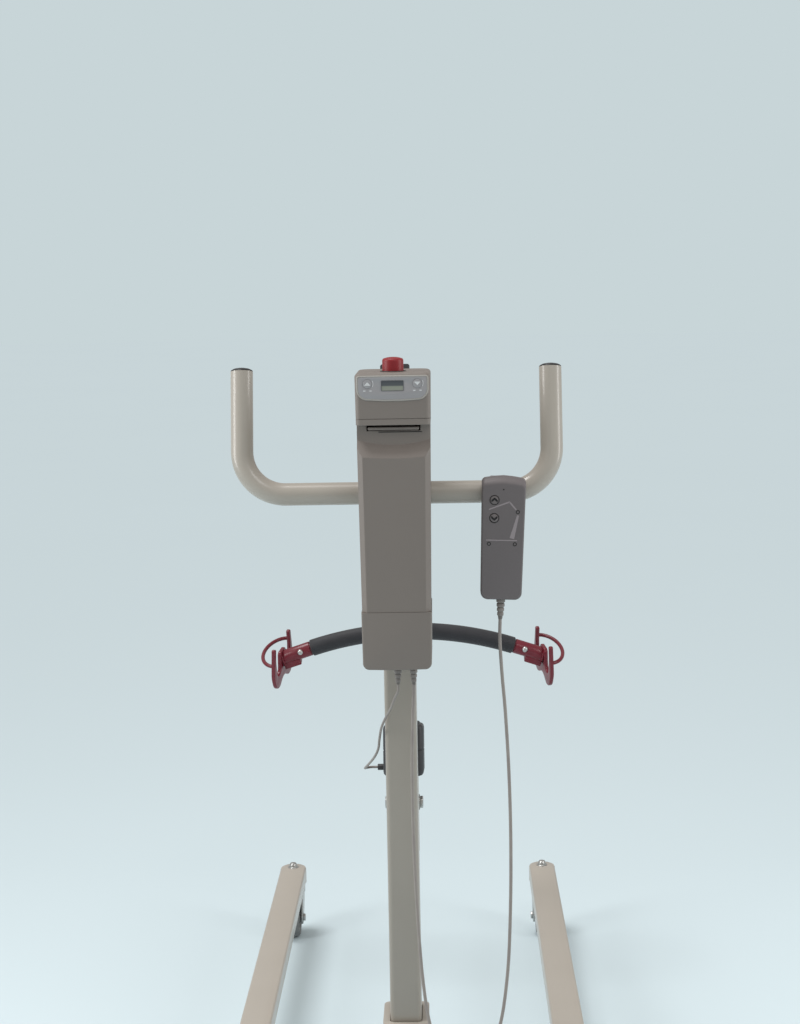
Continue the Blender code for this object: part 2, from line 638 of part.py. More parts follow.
def boom():
    """Box-section boom with the hanger lug and the channel that the ram's eye works in."""
    width, height = BOOM_SIZE
    rear, front = -BOOM_TAIL + 0.003, BOOM_REACH - 0.045
    length, middle = front - rear, (front + rear) / 2
    section = rectangle(width, height, 0.006)
    tube = moved(plate([section], length), ALONG_Y, shift(y=middle))
    wall = 0.003
    bore = moved(plate([rectangle(width - 2 * wall, height - 2 * wall, 0.003)], length), ALONG_Y,
                 shift(y=middle - wall))
    lug = outline([(front - 0.0015, -0.022, 0), (front - 0.0015, 0.022, 0),
                   (BOOM_REACH + 0.018, 0.018, 0.0178), (BOOM_REACH + 0.018, -0.018, 0.0178)])
    hanger_lug = moved(plate([lug, circle(0.0063, (BOOM_REACH, 0))], 0.012), FACE_X)
    along, square = RAM_EYE
    skirt = outline([(along - 0.085, 0.012, 0.006), (along - 0.050, -0.088, 0.014),
                     (along + 0.050, -0.088, 0.014), (along + 0.085, 0.012, 0.006)])
    outside = width / 2
    welds = [hanger_lug]
    for side in (-1, 1):
        welds.append(moved(plate([skirt], 0.005), FACE_X, shift(side * (outside + 0.00225))))
        start, stop, head = ((side * x, along, square) for x in (outside + 0.002, 0.0135, outside + 0.012))
        welds.append(rod(0.010, start, stop))
        welds.append(rod(0.0105, start, head, 6))
    pivot = rod(0.0073, (-0.030, 0, 0), (0.030, 0, 0))
    solid("boom", tube, "cream_paint", boom_axis, add=welds, cut=[bore, pivot])


def boom_cap():
    """Plastic plug in the boom's rear end."""
    width, height = BOOM_SIZE
    face = moved(plate([rectangle(width, height, 0.0035)], 0.0027, 0.0010), ALONG_Y,
                 shift(y=-BOOM_TAIL + 0.00135))
    spigot = moved(plate([rectangle(width - 0.0066, height - 0.0066, 0.003)], 0.014), ALONG_Y,
                   shift(y=-BOOM_TAIL + 0.0085))
    solid("boom_cap", face, "black_plastic", boom_axis, add=[spigot])


def cross_bolt(name, radius, reach, head_radius, head, axis, place=(0, 0, 0)):
    """A bolt along X with a hexagon head on each end, the heads' inner faces at the reach."""
    shank = rod(radius, (-reach - 0.002, 0, 0), (reach + 0.002, 0, 0))
    heads = [rod(head_radius, (side * reach, 0, 0), (side * (reach + head), 0, 0), 6) for side in (-1, 1)]
    for mesh in (shank, *heads):
        moved(mesh, Matrix.Translation(place))
    solid(name, shank, "zinc_steel", axis, add=heads)


def actuator():
    """Linear actuator: foot bracket, gear and motor housing, outer tube, rod and release ring."""
    y, z = RAM_FOOT.y, RAM_FOOT.z
    face = MAST_SIZE[1] / 2 + GAP
    base = box((0.044, 0.006, 0.110), (0, face + 0.003, z), 0.0015)
    ear = outline([(face + 0.003, z + 0.048, 0), (face + 0.003, z - 0.048, 0),
                   (y + 0.017, z - 0.018, 0.017), (y + 0.017, z + 0.018, 0.017)])
    ears = [moved(plate([ear, circle(0.0063, (y, z))], 0.005), FACE_X, shift(side * 0.0185))
            for side in (-1, 1)]
    heads = [rod(0.0055, (0, face + 0.005, z + h), (0, face + 0.0095, z + h), 6) for h in (-0.040, 0.040)]
    solid("actuator_bracket", base, "cream_paint", lift, add=[*ears, *heads])
    cross_bolt("actuator_pin", 0.006, 0.0213, 0.009, 0.006, ram_axis)

    tail = outline([(-0.0155, 0.046, 0), (-0.0155, -0.0155, 0.0153), (0.0155, -0.0155, 0.0153),
                    (0.0155, 0.046, 0)])
    clevis = moved(plate([tail, circle(0.0063)], 0.031), FACE_X)
    gear = box((0.058, 0.106, 0.074), (0, 0.026, 0.075), 0.009)
    can = turned([(0, 0.232), (0.0150, 0.232), (0.0190, 0.226), (0.0190, 0.095), (0, 0.095)])
    neck = turned([(0, 0.116), (0.0235, 0.116), (0.0255, 0.098), (0, 0.098)])
    gland = rod(0.0045, (-0.026, 0.009, 0.050), (-0.038, 0.009, 0.050))
    socket = rod(0.0212, (0, 0, 0.1070), (0, 0, 0.130), 16)
    solid("actuator_motor", gear, "black_plastic", ram_axis,
          add=[clevis, moved(can, shift(y=0.0505)), neck, gland], cut=[socket])

    top, bottom, bore = RAM_REST - 0.072, 0.1073, 0.0114
    barrel = turned([(0, bottom + 0.004), (bore, bottom + 0.004), (bore, top), (0.0165, top),
                     (0.0200, top - 0.004), (0.0200, bottom), (0, bottom)])
    solid("actuator_tube", barrel, "cream_paint", ram_axis)

    shank = rod(0.0110, (0, 0, 0.120), (0, 0, RAM_REST - 0.006))
    eye = moved(plate([circle(0.0150, sides=16), circle(0.0075)], 0.024), FACE_X,
                shift(z=RAM_REST))
    cross = rod(0.0076, (-0.02, 0, RAM_REST), (0.02, 0, RAM_REST))
    solid("actuator_rod", shank, "zinc_steel", ram_axis, add=[eye], cut=[cross])
    low, high = RAM_REST - 0.066, RAM_REST - 0.040
    grip = turned([(bore, high), (0.0150, high), (0.0170, high - 0.003), (0.0170, low + 0.003),
                   (0.0150, low), (bore, low), (bore, high)])
    solid("release_ring", grip, "stop_red", ram_axis)


# Hanger and spreader

def hanger_fork():
    """Clevis on the boom's lug, with the boss that the spreader swivels in."""
    cheek = outline([(-0.016, 0.016, 0.0158), (-0.019, -0.058, 0), (0.019, -0.058, 0),
                     (0.016, 0.016, 0.0158)])
    cheeks = [moved(plate([cheek, circle(0.0063)], 0.0058), FACE_X, shift(side * 0.0096))
              for side in (-1, 1)]
    crown = box((0.0262, 0.036, 0.018), (0, 0, -0.049))
    boss = turned([(0, -0.052), (0.0165, -0.052), (0.0185, -0.055), (0.0185, -0.0700), (0, -0.0700)])
    swivel = rod(0.0064, (0, 0, -0.080), (0, 0, -0.058))
    solid("hanger_fork", crown, "cream_paint", hanger_axis, add=[*cheeks, boss], cut=[swivel])
    cross_bolt("hanger_bolt", 0.006, 0.0128, 0.0100, 0.006, hanger_axis)


def arch_points(half, end=None):
    """Centre line of the spreader in X and Z, its crown at the hanger drop, with straight ends."""
    widest = math.asin(half / ARCH_RADIUS)
    count = 8
    points = []
    for step in range(count + 1):
        angle = widest * (2 * step / count - 1)
        height = ARCH_RADIUS * (math.cos(angle) - 1) - HANGER_DROP
        points.append(Vector((ARCH_RADIUS * math.sin(angle), 0, height)))
    if end:
        fall = (end - half) * math.tan(widest)
        low = points[0].z - fall
        points = [Vector((-end, 0, low)), *points, Vector((end, 0, low))]
    return points


def spreader_tube():
    """Arched bar with the swivel boss on its crown."""
    bar = sweep(arch_points(ARCH_HALF, SPREADER_END - 0.006), SPREADER_TUBE)
    boss = turned([(0, -0.0703), (0.0185, -0.0703), (0.0200, -0.074), (0.0200, -0.084),
                   (0.0150, -0.098), (0, -0.098)])
    pin = rod(0.0060, (0, 0, -0.085), (0, 0, -0.0585))
    holes = [hook_bolt_rod(0.0033, 0.02, side, 12) for side in (-1, 1)]
    solid("spreader_tube", bar, "red_paint", hanger_axis, add=[boss, pin], cut=holes)


def hook_bolt_place(sign):
    """Where a hook bolt crosses the straight end of the bar, and its leaning axis, as one step."""
    slope = math.tan(math.asin(ARCH_HALF / ARCH_RADIUS))
    rise = ARCH_RADIUS - math.sqrt(ARCH_RADIUS ** 2 - ARCH_HALF ** 2)
    height = -HANGER_DROP - rise - (HOOK_BOLT_X - ARCH_HALF) * slope
    return shift(sign * HOOK_BOLT_X, 0, height) @ turn(-HOOK_BOLT_LEAN, "X")


def hook_bolt_rod(radius, reach, sign, sides):
    """A rod on a hook bolt's axis."""
    return moved(rod(radius, (0, -reach, 0), (0, reach, 0), sides), hook_bolt_place(sign))


def spreader_cover():
    """Black sleeve over the arch, open round the swivel boss."""
    sleeve = sweep(arch_points(ARCH_HALF - 0.0015), 0.0156)
    bore = sweep(arch_points(ARCH_HALF, ARCH_HALF + 0.010), SPREADER_TUBE + 0.0005)
    window = rod(0.0215, (0, 0, -0.0995), (0, 0, -0.060))
    solid("spreader_cover", sleeve, "black_sleeve", hanger_axis, cut=[bore, window])


def hook(side, sign):
    """Red end fitting: socket sleeve, gusset, twin-horned plate and outer rod loop."""
    slope = math.asin(ARCH_HALF / ARCH_RADIUS)
    rise = ARCH_RADIUS - math.sqrt(ARCH_RADIUS ** 2 - ARCH_HALF ** 2)
    origin = Vector((ARCH_HALF, 0, -HANGER_DROP - rise))
    down = Vector((math.cos(slope), 0, -math.sin(slope)))
    start, end = origin + down * 0.0005, origin + down * HOOK_REACH
    sleeve = rod(0.0135, start, end)
    bore = rod(SPREADER_TUBE + 0.0005, start - down * 0.01, start + down * 0.050)
    bolt = hook_bolt_rod(0.0033, 0.02, 1, 12)
    rib_end = HOOK_REACH - 0.0005
    rib = outline([(0.0265, -0.0210, 0.002), (rib_end, -0.0210, 0), (rib_end, -0.008, 0), (0.0265, -0.0095, 0)])
    gusset = moved(plate([rib], 0.020), FACE_Y, Matrix.Rotation(slope, 4, "Y"), Matrix.Translation(origin))
    centre = origin + down * HOOK_REACH
    horns = outline([
        (-0.016, 0.018, 0.008), (-0.019, -0.020, 0.012), (-0.041, -0.021, 0.009), (-0.0455, 0.012, 0),
        (-0.0425, 0.036, 0.003), (-0.0515, 0.039, 0.004), (-0.0605, -0.016, 0.030),
        (-0.044, -0.055, 0.022), (0, -0.030, 0.030), (0.044, -0.055, 0.022), (0.0605, -0.016, 0.030),
        (0.0515, 0.039, 0.004), (0.0425, 0.036, 0.003), (0.0455, 0.012, 0), (0.041, -0.021, 0.009),
        (0.019, -0.020, 0.012), (0.016, 0.018, 0.008)])
    blade = plate([horns], 0.007)
    loop = []
    steps = 8
    for step in range(steps + 1):
        angle = math.pi * step / steps
        loop.append(Vector((0.001 + 0.032 * math.sin(angle), -0.0525 * math.cos(angle),
                            0.012 - 0.006 * math.cos(angle))))
    loop_bar = sweep(loop, 0.0035, 1)
    splay = Matrix.Rotation(HOOK_SPLAY, 4, "Z")
    blade = moved(blade, FACE_X, splay, Matrix.Translation(centre))
    loop_bar = moved(loop_bar, splay, Matrix.Translation(centre))
    pieces = [sleeve, gusset, blade, loop_bar, bore, bolt]
    if sign < 0:
        for mesh in pieces:
            moved(mesh, Matrix.Scale(-1, 4, (1, 0, 0)))
            mesh.flip_normals()
    solid(f"hook_{side}", blade, "red_paint", hanger_axis, add=[sleeve, gusset, loop_bar], cut=[bore, bolt])


def spreader_bolt(side, sign):
    """Bolt through a hook's sleeve and the bar, domed on both ends."""
    dome = [(0, 0.0050), (0.0036, 0.0042), (0.0056, 0.0), (0, 0.0)]
    near = moved(turned(dome, 10), turn(90, "X"), shift(y=-0.0142), hook_bolt_place(sign))
    far = moved(turned(dome, 10), turn(-90, "X"), shift(y=0.0142), hook_bolt_place(sign))
    shank = hook_bolt_rod(0.0030, 0.0152, sign, 8)
    solid(f"spreader_bolt_{side}", shank, "zinc_steel", hanger_axis, add=[near, far])


# Push handle

def handle_points():
    """Half of the handle's centre line, from the middle of the bar to the top of an arm."""
    points = [Vector((0, 0, 0)), Vector((HANDLE_HALF - HANDLE_BEND, 0, 0))]
    for step in range(1, 6):
        angle = math.pi / 2 * step / 5
        points.append(Vector((HANDLE_HALF - HANDLE_BEND + HANDLE_BEND * math.sin(angle), 0,
                              HANDLE_BEND - HANDLE_BEND * math.cos(angle))))
    points.append(Vector((HANDLE_HALF, 0, HANDLE_ARM)))
    return points


def push_handle():
    """Bent tube with a saddle that is welded to the back of the mast, and a plug in each arm."""
    half = handle_points()
    whole = [Vector((-p.x, p.y, p.z)) for p in reversed(half[1:])] + half[1:]
    lean = Matrix.Rotation(HANDLE_LEAN, 4, "X")
    tube = moved(sweep(whole, BAR_RADIUS, 4), lean)
    saddle_y = -MAST_SIZE[1] / 2 - GAP - 0.004 - BAR_Y
    saddle = box((MAST_SIZE[0], 0.008, 0.060), (-HANDLE_X, saddle_y, 0), 0.0015)
    bores = []
    for side in (-1, 1):
        bores.append(moved(rod(0.0128, (side * HANDLE_HALF, 0, HANDLE_ARM - 0.022),
                               (side * HANDLE_HALF, 0, HANDLE_ARM + 0.01)), lean))
    solid("push_handle", tube, "cream_paint", handle_axis, add=[saddle], cut=bores)
    for side, sign in SIDES.items():
        plug = turned([(0, 0.0050), (0.0080, 0.0042), (0.0150, GAP), (0.0120, GAP), (0.0116, -0.018),
                       (0, -0.018)])
        plug = moved(plug, shift(sign * HANDLE_HALF, 0, HANDLE_ARM), lean)
        solid(f"handle_plug_{side}", plug, "black_plastic", handle_axis)


# Control box

def box_half(z):
    """Half width of the tapered box at a height."""
    share = (z - BOX_BOTTOM) / (BOX_TOP - BOX_BOTTOM)
    return BOX_BOTTOM_HALF + share * (BOX_TOP_HALF - BOX_BOTTOM_HALF)


def box_section(z, front, back, front_corner, back_corner, inset=0.0):
    """Plan outline of the box at a height."""
    half = box_half(z) - inset
    return outline([(-half, front + inset, front_corner), (half, front + inset, front_corner),
                    (half, back - inset, back_corner), (-half, back - inset, back_corner)])


def controller_housing():
    """Spine against the mast and the head over the battery."""
    head = loft([(z, box_section(z, BOX_FRONT, BOX_BACK, 0.007, 0.014, inset)) for z, inset in
                 ((HEAD_BOTTOM, 0.0), (BOX_TOP - 0.0035, 0.0), (BOX_TOP, 0.0030))])
    spine_top = HEAD_BOTTOM + 0.010
    spine = loft([(z, box_section(z, SPINE_FRONT, BOX_BACK + 0.0004, 0.002, 0.012, 0.0004))
                  for z in (FOOT_TOP + GAP, spine_top)])
    pad = box((0.034, 0.010, 0.080), (0, -MAST_SIZE[1] / 2 - GAP - 0.005, 0.920), 0.001)
    bar_room = BAR_RADIUS + 0.0009
    channel = rod(bar_room, (-0.080, BAR_Y, BAR_Z), (0.080, BAR_Y, BAR_Z))
    mouth = box((0.160, 0.040, 2 * bar_room), (0, BAR_Y + 0.020, BAR_Z))
    saddle_room = box((MAST_SIZE[0] + 0.002, 0.020, 0.063), (0, -0.0300, BAR_Z))
    stop_well = rod(0.0148, (0, -0.094, BOX_TOP - 0.0045), (0, -0.094, BOX_TOP + 0.01), 20)
    stem_hole = rod(0.0060, (0, -0.094, BOX_TOP - 0.0110), (0, -0.094, BOX_TOP))
    solid("controller_housing", head, "box_plastic", lift, add=[spine, pad],
          cut=[channel, mouth, saddle_room, stop_well, stem_hole])


def battery():
    """Battery pack under the head: chamfered front, finger scoop and release lever."""
    low, high = FOOT_TOP + GAP, BATTERY_TOP

    def section(z):
        half = box_half(z) - 0.0004
        flat = half - 0.0068
        right = [(flat, BOX_FRONT), (half - 0.0008, BOX_FRONT + 0.0068), (half, BOX_FRONT + 0.0085),
                 (half, SPINE_FRONT - GAP)]
        return [Vector((-x, y)) for x, y in reversed(right)] + [Vector(p) for p in right]

    pack = loft([(low, section(low)), (high, section(high))])
    lip, depth, rise = 1.0613, 0.0235, 0.0240
    ramp = [Vector((BOX_FRONT - 0.02, lip))]
    for step in range(7):
        angle = math.radians(8 + 70 * step / 6)
        ramp.append(Vector((BOX_FRONT + depth * math.sin(angle) - 0.0032,
                            lip + rise * (1 - math.cos(angle)))))
    wall = ramp[-1].x
    ramp += [Vector((wall, 1.2)), Vector((BOX_FRONT - 0.02, 1.2))]
    scoop = moved(plate([ramp], 0.200), FACE_X)
    ears = [box((0.006, 0.009, 0.0065), (side * 0.0375, -0.0925, BATTERY_TOP + 0.0015), 0.0005, 1)
            for side in (-1, 1)]
    holes = [rod(0.0017, (-0.060, -0.0925, 1.0980), (0.060, -0.0925, 1.0980), 12)]
    solid("battery", pack, "box_plastic", lift, add=ears, cut=[scoop, *holes])
    lever = box((0.0635, 0.0340, 0.0036), (0, -0.1085, 1.0985), 0.0008, 1)
    barrel = rod(0.0022, (-0.0335, -0.0925, 1.0980), (0.0335, -0.0925, 1.0980), 12)
    pin = rod(0.0014, (-0.0395, -0.0925, 1.0980), (0.0395, -0.0925, 1.0980), 8)
    solid("battery_latch", lever, "box_plastic", lift, add=[barrel, pin])


def connector_foot():
    """Foot of the box with the two cable sockets in its underside."""
    top_half, low_half = box_half(FOOT_TOP) + 0.0005, box_half(BOX_BOTTOM) + 0.0003
    face = outline([(-top_half, FOOT_TOP, 0), (-low_half, BOX_BOTTOM + 0.0012, 0.0085),
                    (0, BOX_BOTTOM, 0.300), (low_half, BOX_BOTTOM + 0.0012, 0.0085),
                    (top_half, FOOT_TOP, 0)])
    deep = BOX_BACK - BOX_FRONT + 0.0008
    block = moved(plate([face], deep, 0.0015), FACE_Y, shift(y=(BOX_BACK + BOX_FRONT) / 2 - 0.0004))
    sockets = [rod(0.0053, (x, SOCKET_Y, BOX_BOTTOM - 0.01), (x, SOCKET_Y, BOX_BOTTOM + 0.012))
               for x in SOCKETS.values()]
    solid("connector_foot", block, "box_plastic", lift, cut=sockets)


def plugs():
    """Cable plugs with ribbed, tapered strain reliefs."""
    for name, x in SOCKETS.items():
        profile = [(0, 0.0400), (0.0048, 0.0400), (0.0050, 0.0250)]
        for rib in range(3):
            height = 0.0250 - 0.0080 * rib
            radius = 0.0050 - 0.00055 * rib
            profile += [(radius, height - 0.0036), (radius - 0.0010, height - 0.0042),
                        (radius - 0.0010, height - 0.0060)]
        profile += [(0.0026, 0.0), (0, 0.0)]
        body = turned(profile, 8)
        solid(name, moved(body, shift(x, SOCKET_Y, PLUG_END)), "cable_grey", lift)


def control_panel():
    """Film panel on the head with its display window and two membrane keys."""
    face = BOX_FRONT - GAP
    half, top, low = 0.0438, 1.1650, 1.1385
    shape = outline([(-half, top, 0.002), (-half, low, 0.012), (0, low - 0.0026, 0.200), (half, low, 0.012),
                     (half, top, 0.002)])
    window = rectangle(0.0284, 0.0131, 0.0012, (0, 1.1540))
    keys = [circle(0.0062, (side * 0.0318, 1.1565), 20) for side in (-1, 1)]
    panel = moved(plate([shape, window, *keys], 0.0012), FACE_Y, shift(y=face - 0.0006))
    solid("control_panel", panel, "panel_film", lift)
    lens = plate([rectangle(0.0278, 0.0125, 0.0010, (0, 1.1540))], 0.0010)
    solid("display_lens", moved(lens, FACE_Y, shift(y=face - 0.0005)), "display_glass", lift)
    for name, sign in (("panel_button_up", -1), ("panel_button_down", 1)):
        key = turned([(0, 0.0020), (0.0058, 0.0013), (0.0058, 0.0006), (0, 0.0006)], 12)
        key = moved(key, turn(90, "X"), shift(sign * 0.0318, face, 1.1565))
        solid(name, key, "panel_film", lift)


def stop_button():
    """Red emergency stop in its well on top of the box, its stem in the box's bore."""
    low, high = BOX_TOP - 0.0008, BOX_TOP + 0.0185
    profile = [(0, high), (0.0060, high - 0.0004), (0.0100, high - 0.0018), (0.0130, high - 0.0052),
               (0.01375, high - 0.0090), (0.01375, low), (0.0056, low), (0.0056, low - 0.0065), (0, low - 0.0065)]
    solid("stop_button", moved(turned(profile, 20), shift(y=-0.094)), "stop_red", lift)


# Handset

def relief_pocket():
    """Room for the head of the cord's strain relief, between the two shells."""
    return rod(0.0052, (0, 0, -HANDSET_HEIGHT - 0.010), (0, 0, -HANDSET_HEIGHT + 0.0125))


def handset():
    """Two-shell handset that hooks over the bar, with its keys and strain relief."""
    top_half, low_half = HANDSET_HALF
    low = -HANDSET_HEIGHT
    shape = outline([(-low_half, low, 0.0095), (low_half, low, 0.0095), (top_half, -0.0035, 0.0060),
                     (0, 0.0010, 0.075), (-top_half, -0.0035, 0.0060)])
    front = moved(plate([shape], 0.0122, 0.0026), FACE_Y, shift(y=-0.0064))
    wells = [rod(0.0063, (x, -0.020, z), (x, -0.0085, z), 16) for x, z in HANDSET_KEYS.values()]
    solid("handset_front", front, "handset_plastic", handset_axis, cut=[*wells, relief_pocket()])
    back = moved(plate([shape], 0.0122, 0.0026), FACE_Y, shift(y=0.0064))
    bar = Vector((0, BAR_Y, BAR_Z)) - HANDSET_TOP
    hook_shape = []
    for radius, steps in ((0.0205, range(0, 11)), (0.0163, range(10, -1, -1))):
        for step in steps:
            angle = math.radians(-25 + 205 * step / 10)
            hook_shape.append(Vector((bar.y + radius * math.cos(angle), bar.z + radius * math.sin(angle))))
    hook_band = moved(plate([hook_shape], 0.024), FACE_X, shift(-0.005))
    solid("handset_back", back, "handset_plastic", handset_axis, add=[hook_band], cut=[relief_pocket()])
    for name, (x, z) in HANDSET_KEYS.items():
        key = turned([(0, 0.0040), (0.0046, 0.0037), (0.0058, 0.0028), (0.0058, 0.0), (0, 0.0)], 12)
        solid(name, moved(key, turn(90, "X"), shift(x, -0.0097, z)), "handset_plastic", handset_axis)
    profile = [(0, 0.0120), (0.0044, 0.0120), (0.0046, 0.0)]
    for rib in range(3):
        height = -0.0056 * rib
        radius = 0.0046 - 0.0005 * rib
        profile += [(radius, height - 0.0034), (radius - 0.0010, height - 0.0040),
                    (radius - 0.0010, height - 0.0052)]
    profile += [(0.0027, -RELIEF_END), (0, -RELIEF_END)]
    relief = moved(turned(profile, 8), shift(0, 0, low))
    solid("handset_relief", relief, "cable_grey", handset_axis)


def cords():
    """The actuator's lead and the handset's cord along their smooth routes."""
    for name, route, diameter, count in (("actuator_lead", LEAD_ROUTE, LEAD_DIAMETER, 22),
                                         ("handset_cord", CORD_ROUTE, CORD_DIAMETER, 46)):
        points, length = smooth_route(route, count)
        print(f"{name}: {length:.3f} m long")
        solid(name, sweep(points, diameter / 2, 1), "cable_grey", lift)


base_frame()
mast_knob()
for side_name, side_sign in SIDES.items():
    leg(side_name, side_sign)
    leg_bolt(side_name)
    link_rod(side_name, side_sign)
leg_pedal()
casters()
mast()
boom_yoke()
boom()
boom_cap()
cross_bolt("boom_bolt", 0.007, MAST_SIZE[0] / 2 + 2 * GAP + 0.005, 0.0125, 0.008, boom_axis)
actuator()
hanger_fork()
spreader_tube()
spreader_cover()
for side_name, side_sign in SIDES.items():
    hook(side_name, side_sign)
    spreader_bolt(side_name, side_sign)
push_handle()
controller_housing()
battery()
connector_foot()
plugs()
control_panel()
stop_button()
handset()
cords()
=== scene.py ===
import json
import math

import bmesh
import bpy
from mathutils import Matrix, Vector


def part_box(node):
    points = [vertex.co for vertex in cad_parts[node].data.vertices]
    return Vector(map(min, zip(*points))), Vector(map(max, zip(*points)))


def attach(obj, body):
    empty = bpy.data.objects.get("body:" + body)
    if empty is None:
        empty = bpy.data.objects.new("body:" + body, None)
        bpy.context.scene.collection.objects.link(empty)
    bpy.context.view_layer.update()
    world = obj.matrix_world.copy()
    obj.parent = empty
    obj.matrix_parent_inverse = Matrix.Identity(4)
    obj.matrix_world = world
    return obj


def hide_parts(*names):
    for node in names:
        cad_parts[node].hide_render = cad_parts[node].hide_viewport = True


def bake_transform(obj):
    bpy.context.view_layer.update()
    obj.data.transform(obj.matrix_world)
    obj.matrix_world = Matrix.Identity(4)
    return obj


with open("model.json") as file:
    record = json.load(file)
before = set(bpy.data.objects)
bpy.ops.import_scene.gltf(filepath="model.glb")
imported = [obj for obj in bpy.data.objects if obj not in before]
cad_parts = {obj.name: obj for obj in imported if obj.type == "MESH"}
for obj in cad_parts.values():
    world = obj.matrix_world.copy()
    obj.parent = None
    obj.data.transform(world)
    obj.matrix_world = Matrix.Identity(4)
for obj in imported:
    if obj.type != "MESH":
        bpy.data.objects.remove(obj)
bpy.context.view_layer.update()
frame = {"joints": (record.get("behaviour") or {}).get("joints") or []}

# An electric patient lift seen from the caregiver's side: handle, control box, handset and
# spreader in view, with the boom, actuator, base and casters made in full behind and below.
# Metres, +Z up, +Y towards the patient, +X to the caregiver's right.

joints = {entry["name"]: entry for entry in frame["joints"]}


# Places read from the frame

def joint_place(name):
    """Where a joint's axis stands."""
    return Vector(joints[name]["pos_m"])


mast_low, mast_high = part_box("mast")
MAST_Y = (mast_low.y + mast_high.y) / 2
LIFT = Matrix.Translation((0, MAST_Y, 0))
BOOM_PIVOT = joint_place("boom_lift") - Vector((0, MAST_Y, 0))
HANGER_PIN = joint_place("hanger_swing")
RAM_FOOT = joint_place("ram_pivot") - Vector((0, MAST_Y, 0))
BOOM_REST = math.atan2(HANGER_PIN.z - BOOM_PIVOT.z, HANGER_PIN.y - joint_place("boom_lift").y)
BOOM_REACH = (HANGER_PIN - joint_place("boom_lift")).length
BOOM = Matrix.Translation(joint_place("boom_lift")) @ Matrix.Rotation(BOOM_REST, 4, "X")
HANGER_TILT = math.radians(12)
HANGER = Matrix.Translation(HANGER_PIN) @ Matrix.Rotation(HANGER_TILT, 4, "X")
RAM_EYE = (0.200, -0.055)
ram_eye = BOOM @ Vector((0, *RAM_EYE))
ram_line = ram_eye - joint_place("ram_pivot")
RAM_REST = ram_line.length
RAM_LEAN = -math.atan2(ram_line.y, ram_line.z)
RAM = Matrix.Translation(joint_place("ram_pivot")) @ Matrix.Rotation(RAM_LEAN, 4, "X")
SIDES = {"left": -1, "right": 1}

# Base sizes
PLATE_TOP = 0.1375
PLATE_THICK = 0.007
LOWER_PLATE_TOP = 0.0990
LOWER_PLATE_THICK = 0.0085
SOCKET_TOP = 0.260
LEG_PIVOT = Vector((0.245, 0.045, 0.0))
LEG_LENGTH = 0.985
LEG_TOP, LEG_BOTTOM = 0.130, 0.100
LINK_ARM = 0.080
LEG_SPREAD = math.radians(14)
SHAFT_Z = 0.075
CRANK = 0.035
CRANK_REST = math.asin(LINK_ARM * math.sin(LEG_SPREAD / 2) / CRANK)
BEAM_TOP = 0.138
BOLT_HOLE = 0.0063
KNOB_Z = 0.215
TREAD_Y = -0.136
BRAKE_PIN_Y, BRAKE_PIN_RISE = -0.082, 0.028
CASTERS = {"rear": (0.245, -0.075, 0.050, 0.035), "front": (0.245, 1.005, 0.0375, 0.025)}

# Handle, box and handset sizes
GAP = 0.0003
HANDLE_X, BAR_Y, BAR_Z, BAR_RADIUS = 0.0013, -0.0475, 1.0057, 0.015
HANDLE_HALF, HANDLE_BEND, HANDLE_ARM = 0.2064, 0.058, 0.166
HANDLE = LIFT @ Matrix.Translation((HANDLE_X, BAR_Y, BAR_Z)) @ Matrix.Rotation(math.radians(-13), 4, "X")
BOX_FRONT, BOX_BACK = -0.1350, -0.0335
SPINE_FRONT = -0.0800
BOX_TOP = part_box("controller_housing")[1].z
BOX_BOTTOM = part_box("connector_foot")[0].z
BOX_TOP_HALF, BOX_BOTTOM_HALF = 0.0484, 0.0444
HEAD_BOTTOM, FOOT_TOP, BATTERY_TOP = 1.1036, 0.8605, 1.0950
SOCKETS = {"actuator": -0.001, "handset": 0.020}
SOCKET_Y = -0.085
PLUG_END = 0.754
HANDSET_TOP = Vector((0.1426, -0.0775, 1.0296))
HANDSET_HEIGHT = 0.163
HANDSET_HALF = (0.0289, 0.0270)
HANDSET = LIFT @ Matrix.Translation(HANDSET_TOP) @ Matrix.Rotation(math.radians(2.1), 4, "Y")
HANDSET_KEYS = {"up": (-0.0120, -0.0305), "down": (-0.0118, -0.0542)}
RELIEF_LENGTH = 0.0277
STOP_Y = -0.094
LATCH_Y, LATCH_Z = -0.0925, 1.0980
DISPLAY_Z = 1.1540
PANEL_KEY_X, PANEL_KEY_Z = 0.0318, 1.1565

# Spreader sizes
ARCH_RADIUS, ARCH_HALF, ARCH_DROP = 0.575, 0.190, 0.1012
ARCH_SLOPE = math.asin(ARCH_HALF / ARCH_RADIUS)
# Where the arch ends and its straight end starts, on the right
ARCH_END = Vector((ARCH_HALF, 0, -ARCH_DROP - ARCH_RADIUS + math.sqrt(ARCH_RADIUS ** 2 - ARCH_HALF ** 2)))
SPREADER_TUBE, SPREADER_END = 0.0115, 0.243
HOOK_SPLAY = math.radians(12)
HOOK_REACH = 0.0592
HOOK_BOLT_X, HOOK_BOLT_LEAN = 0.210, 20

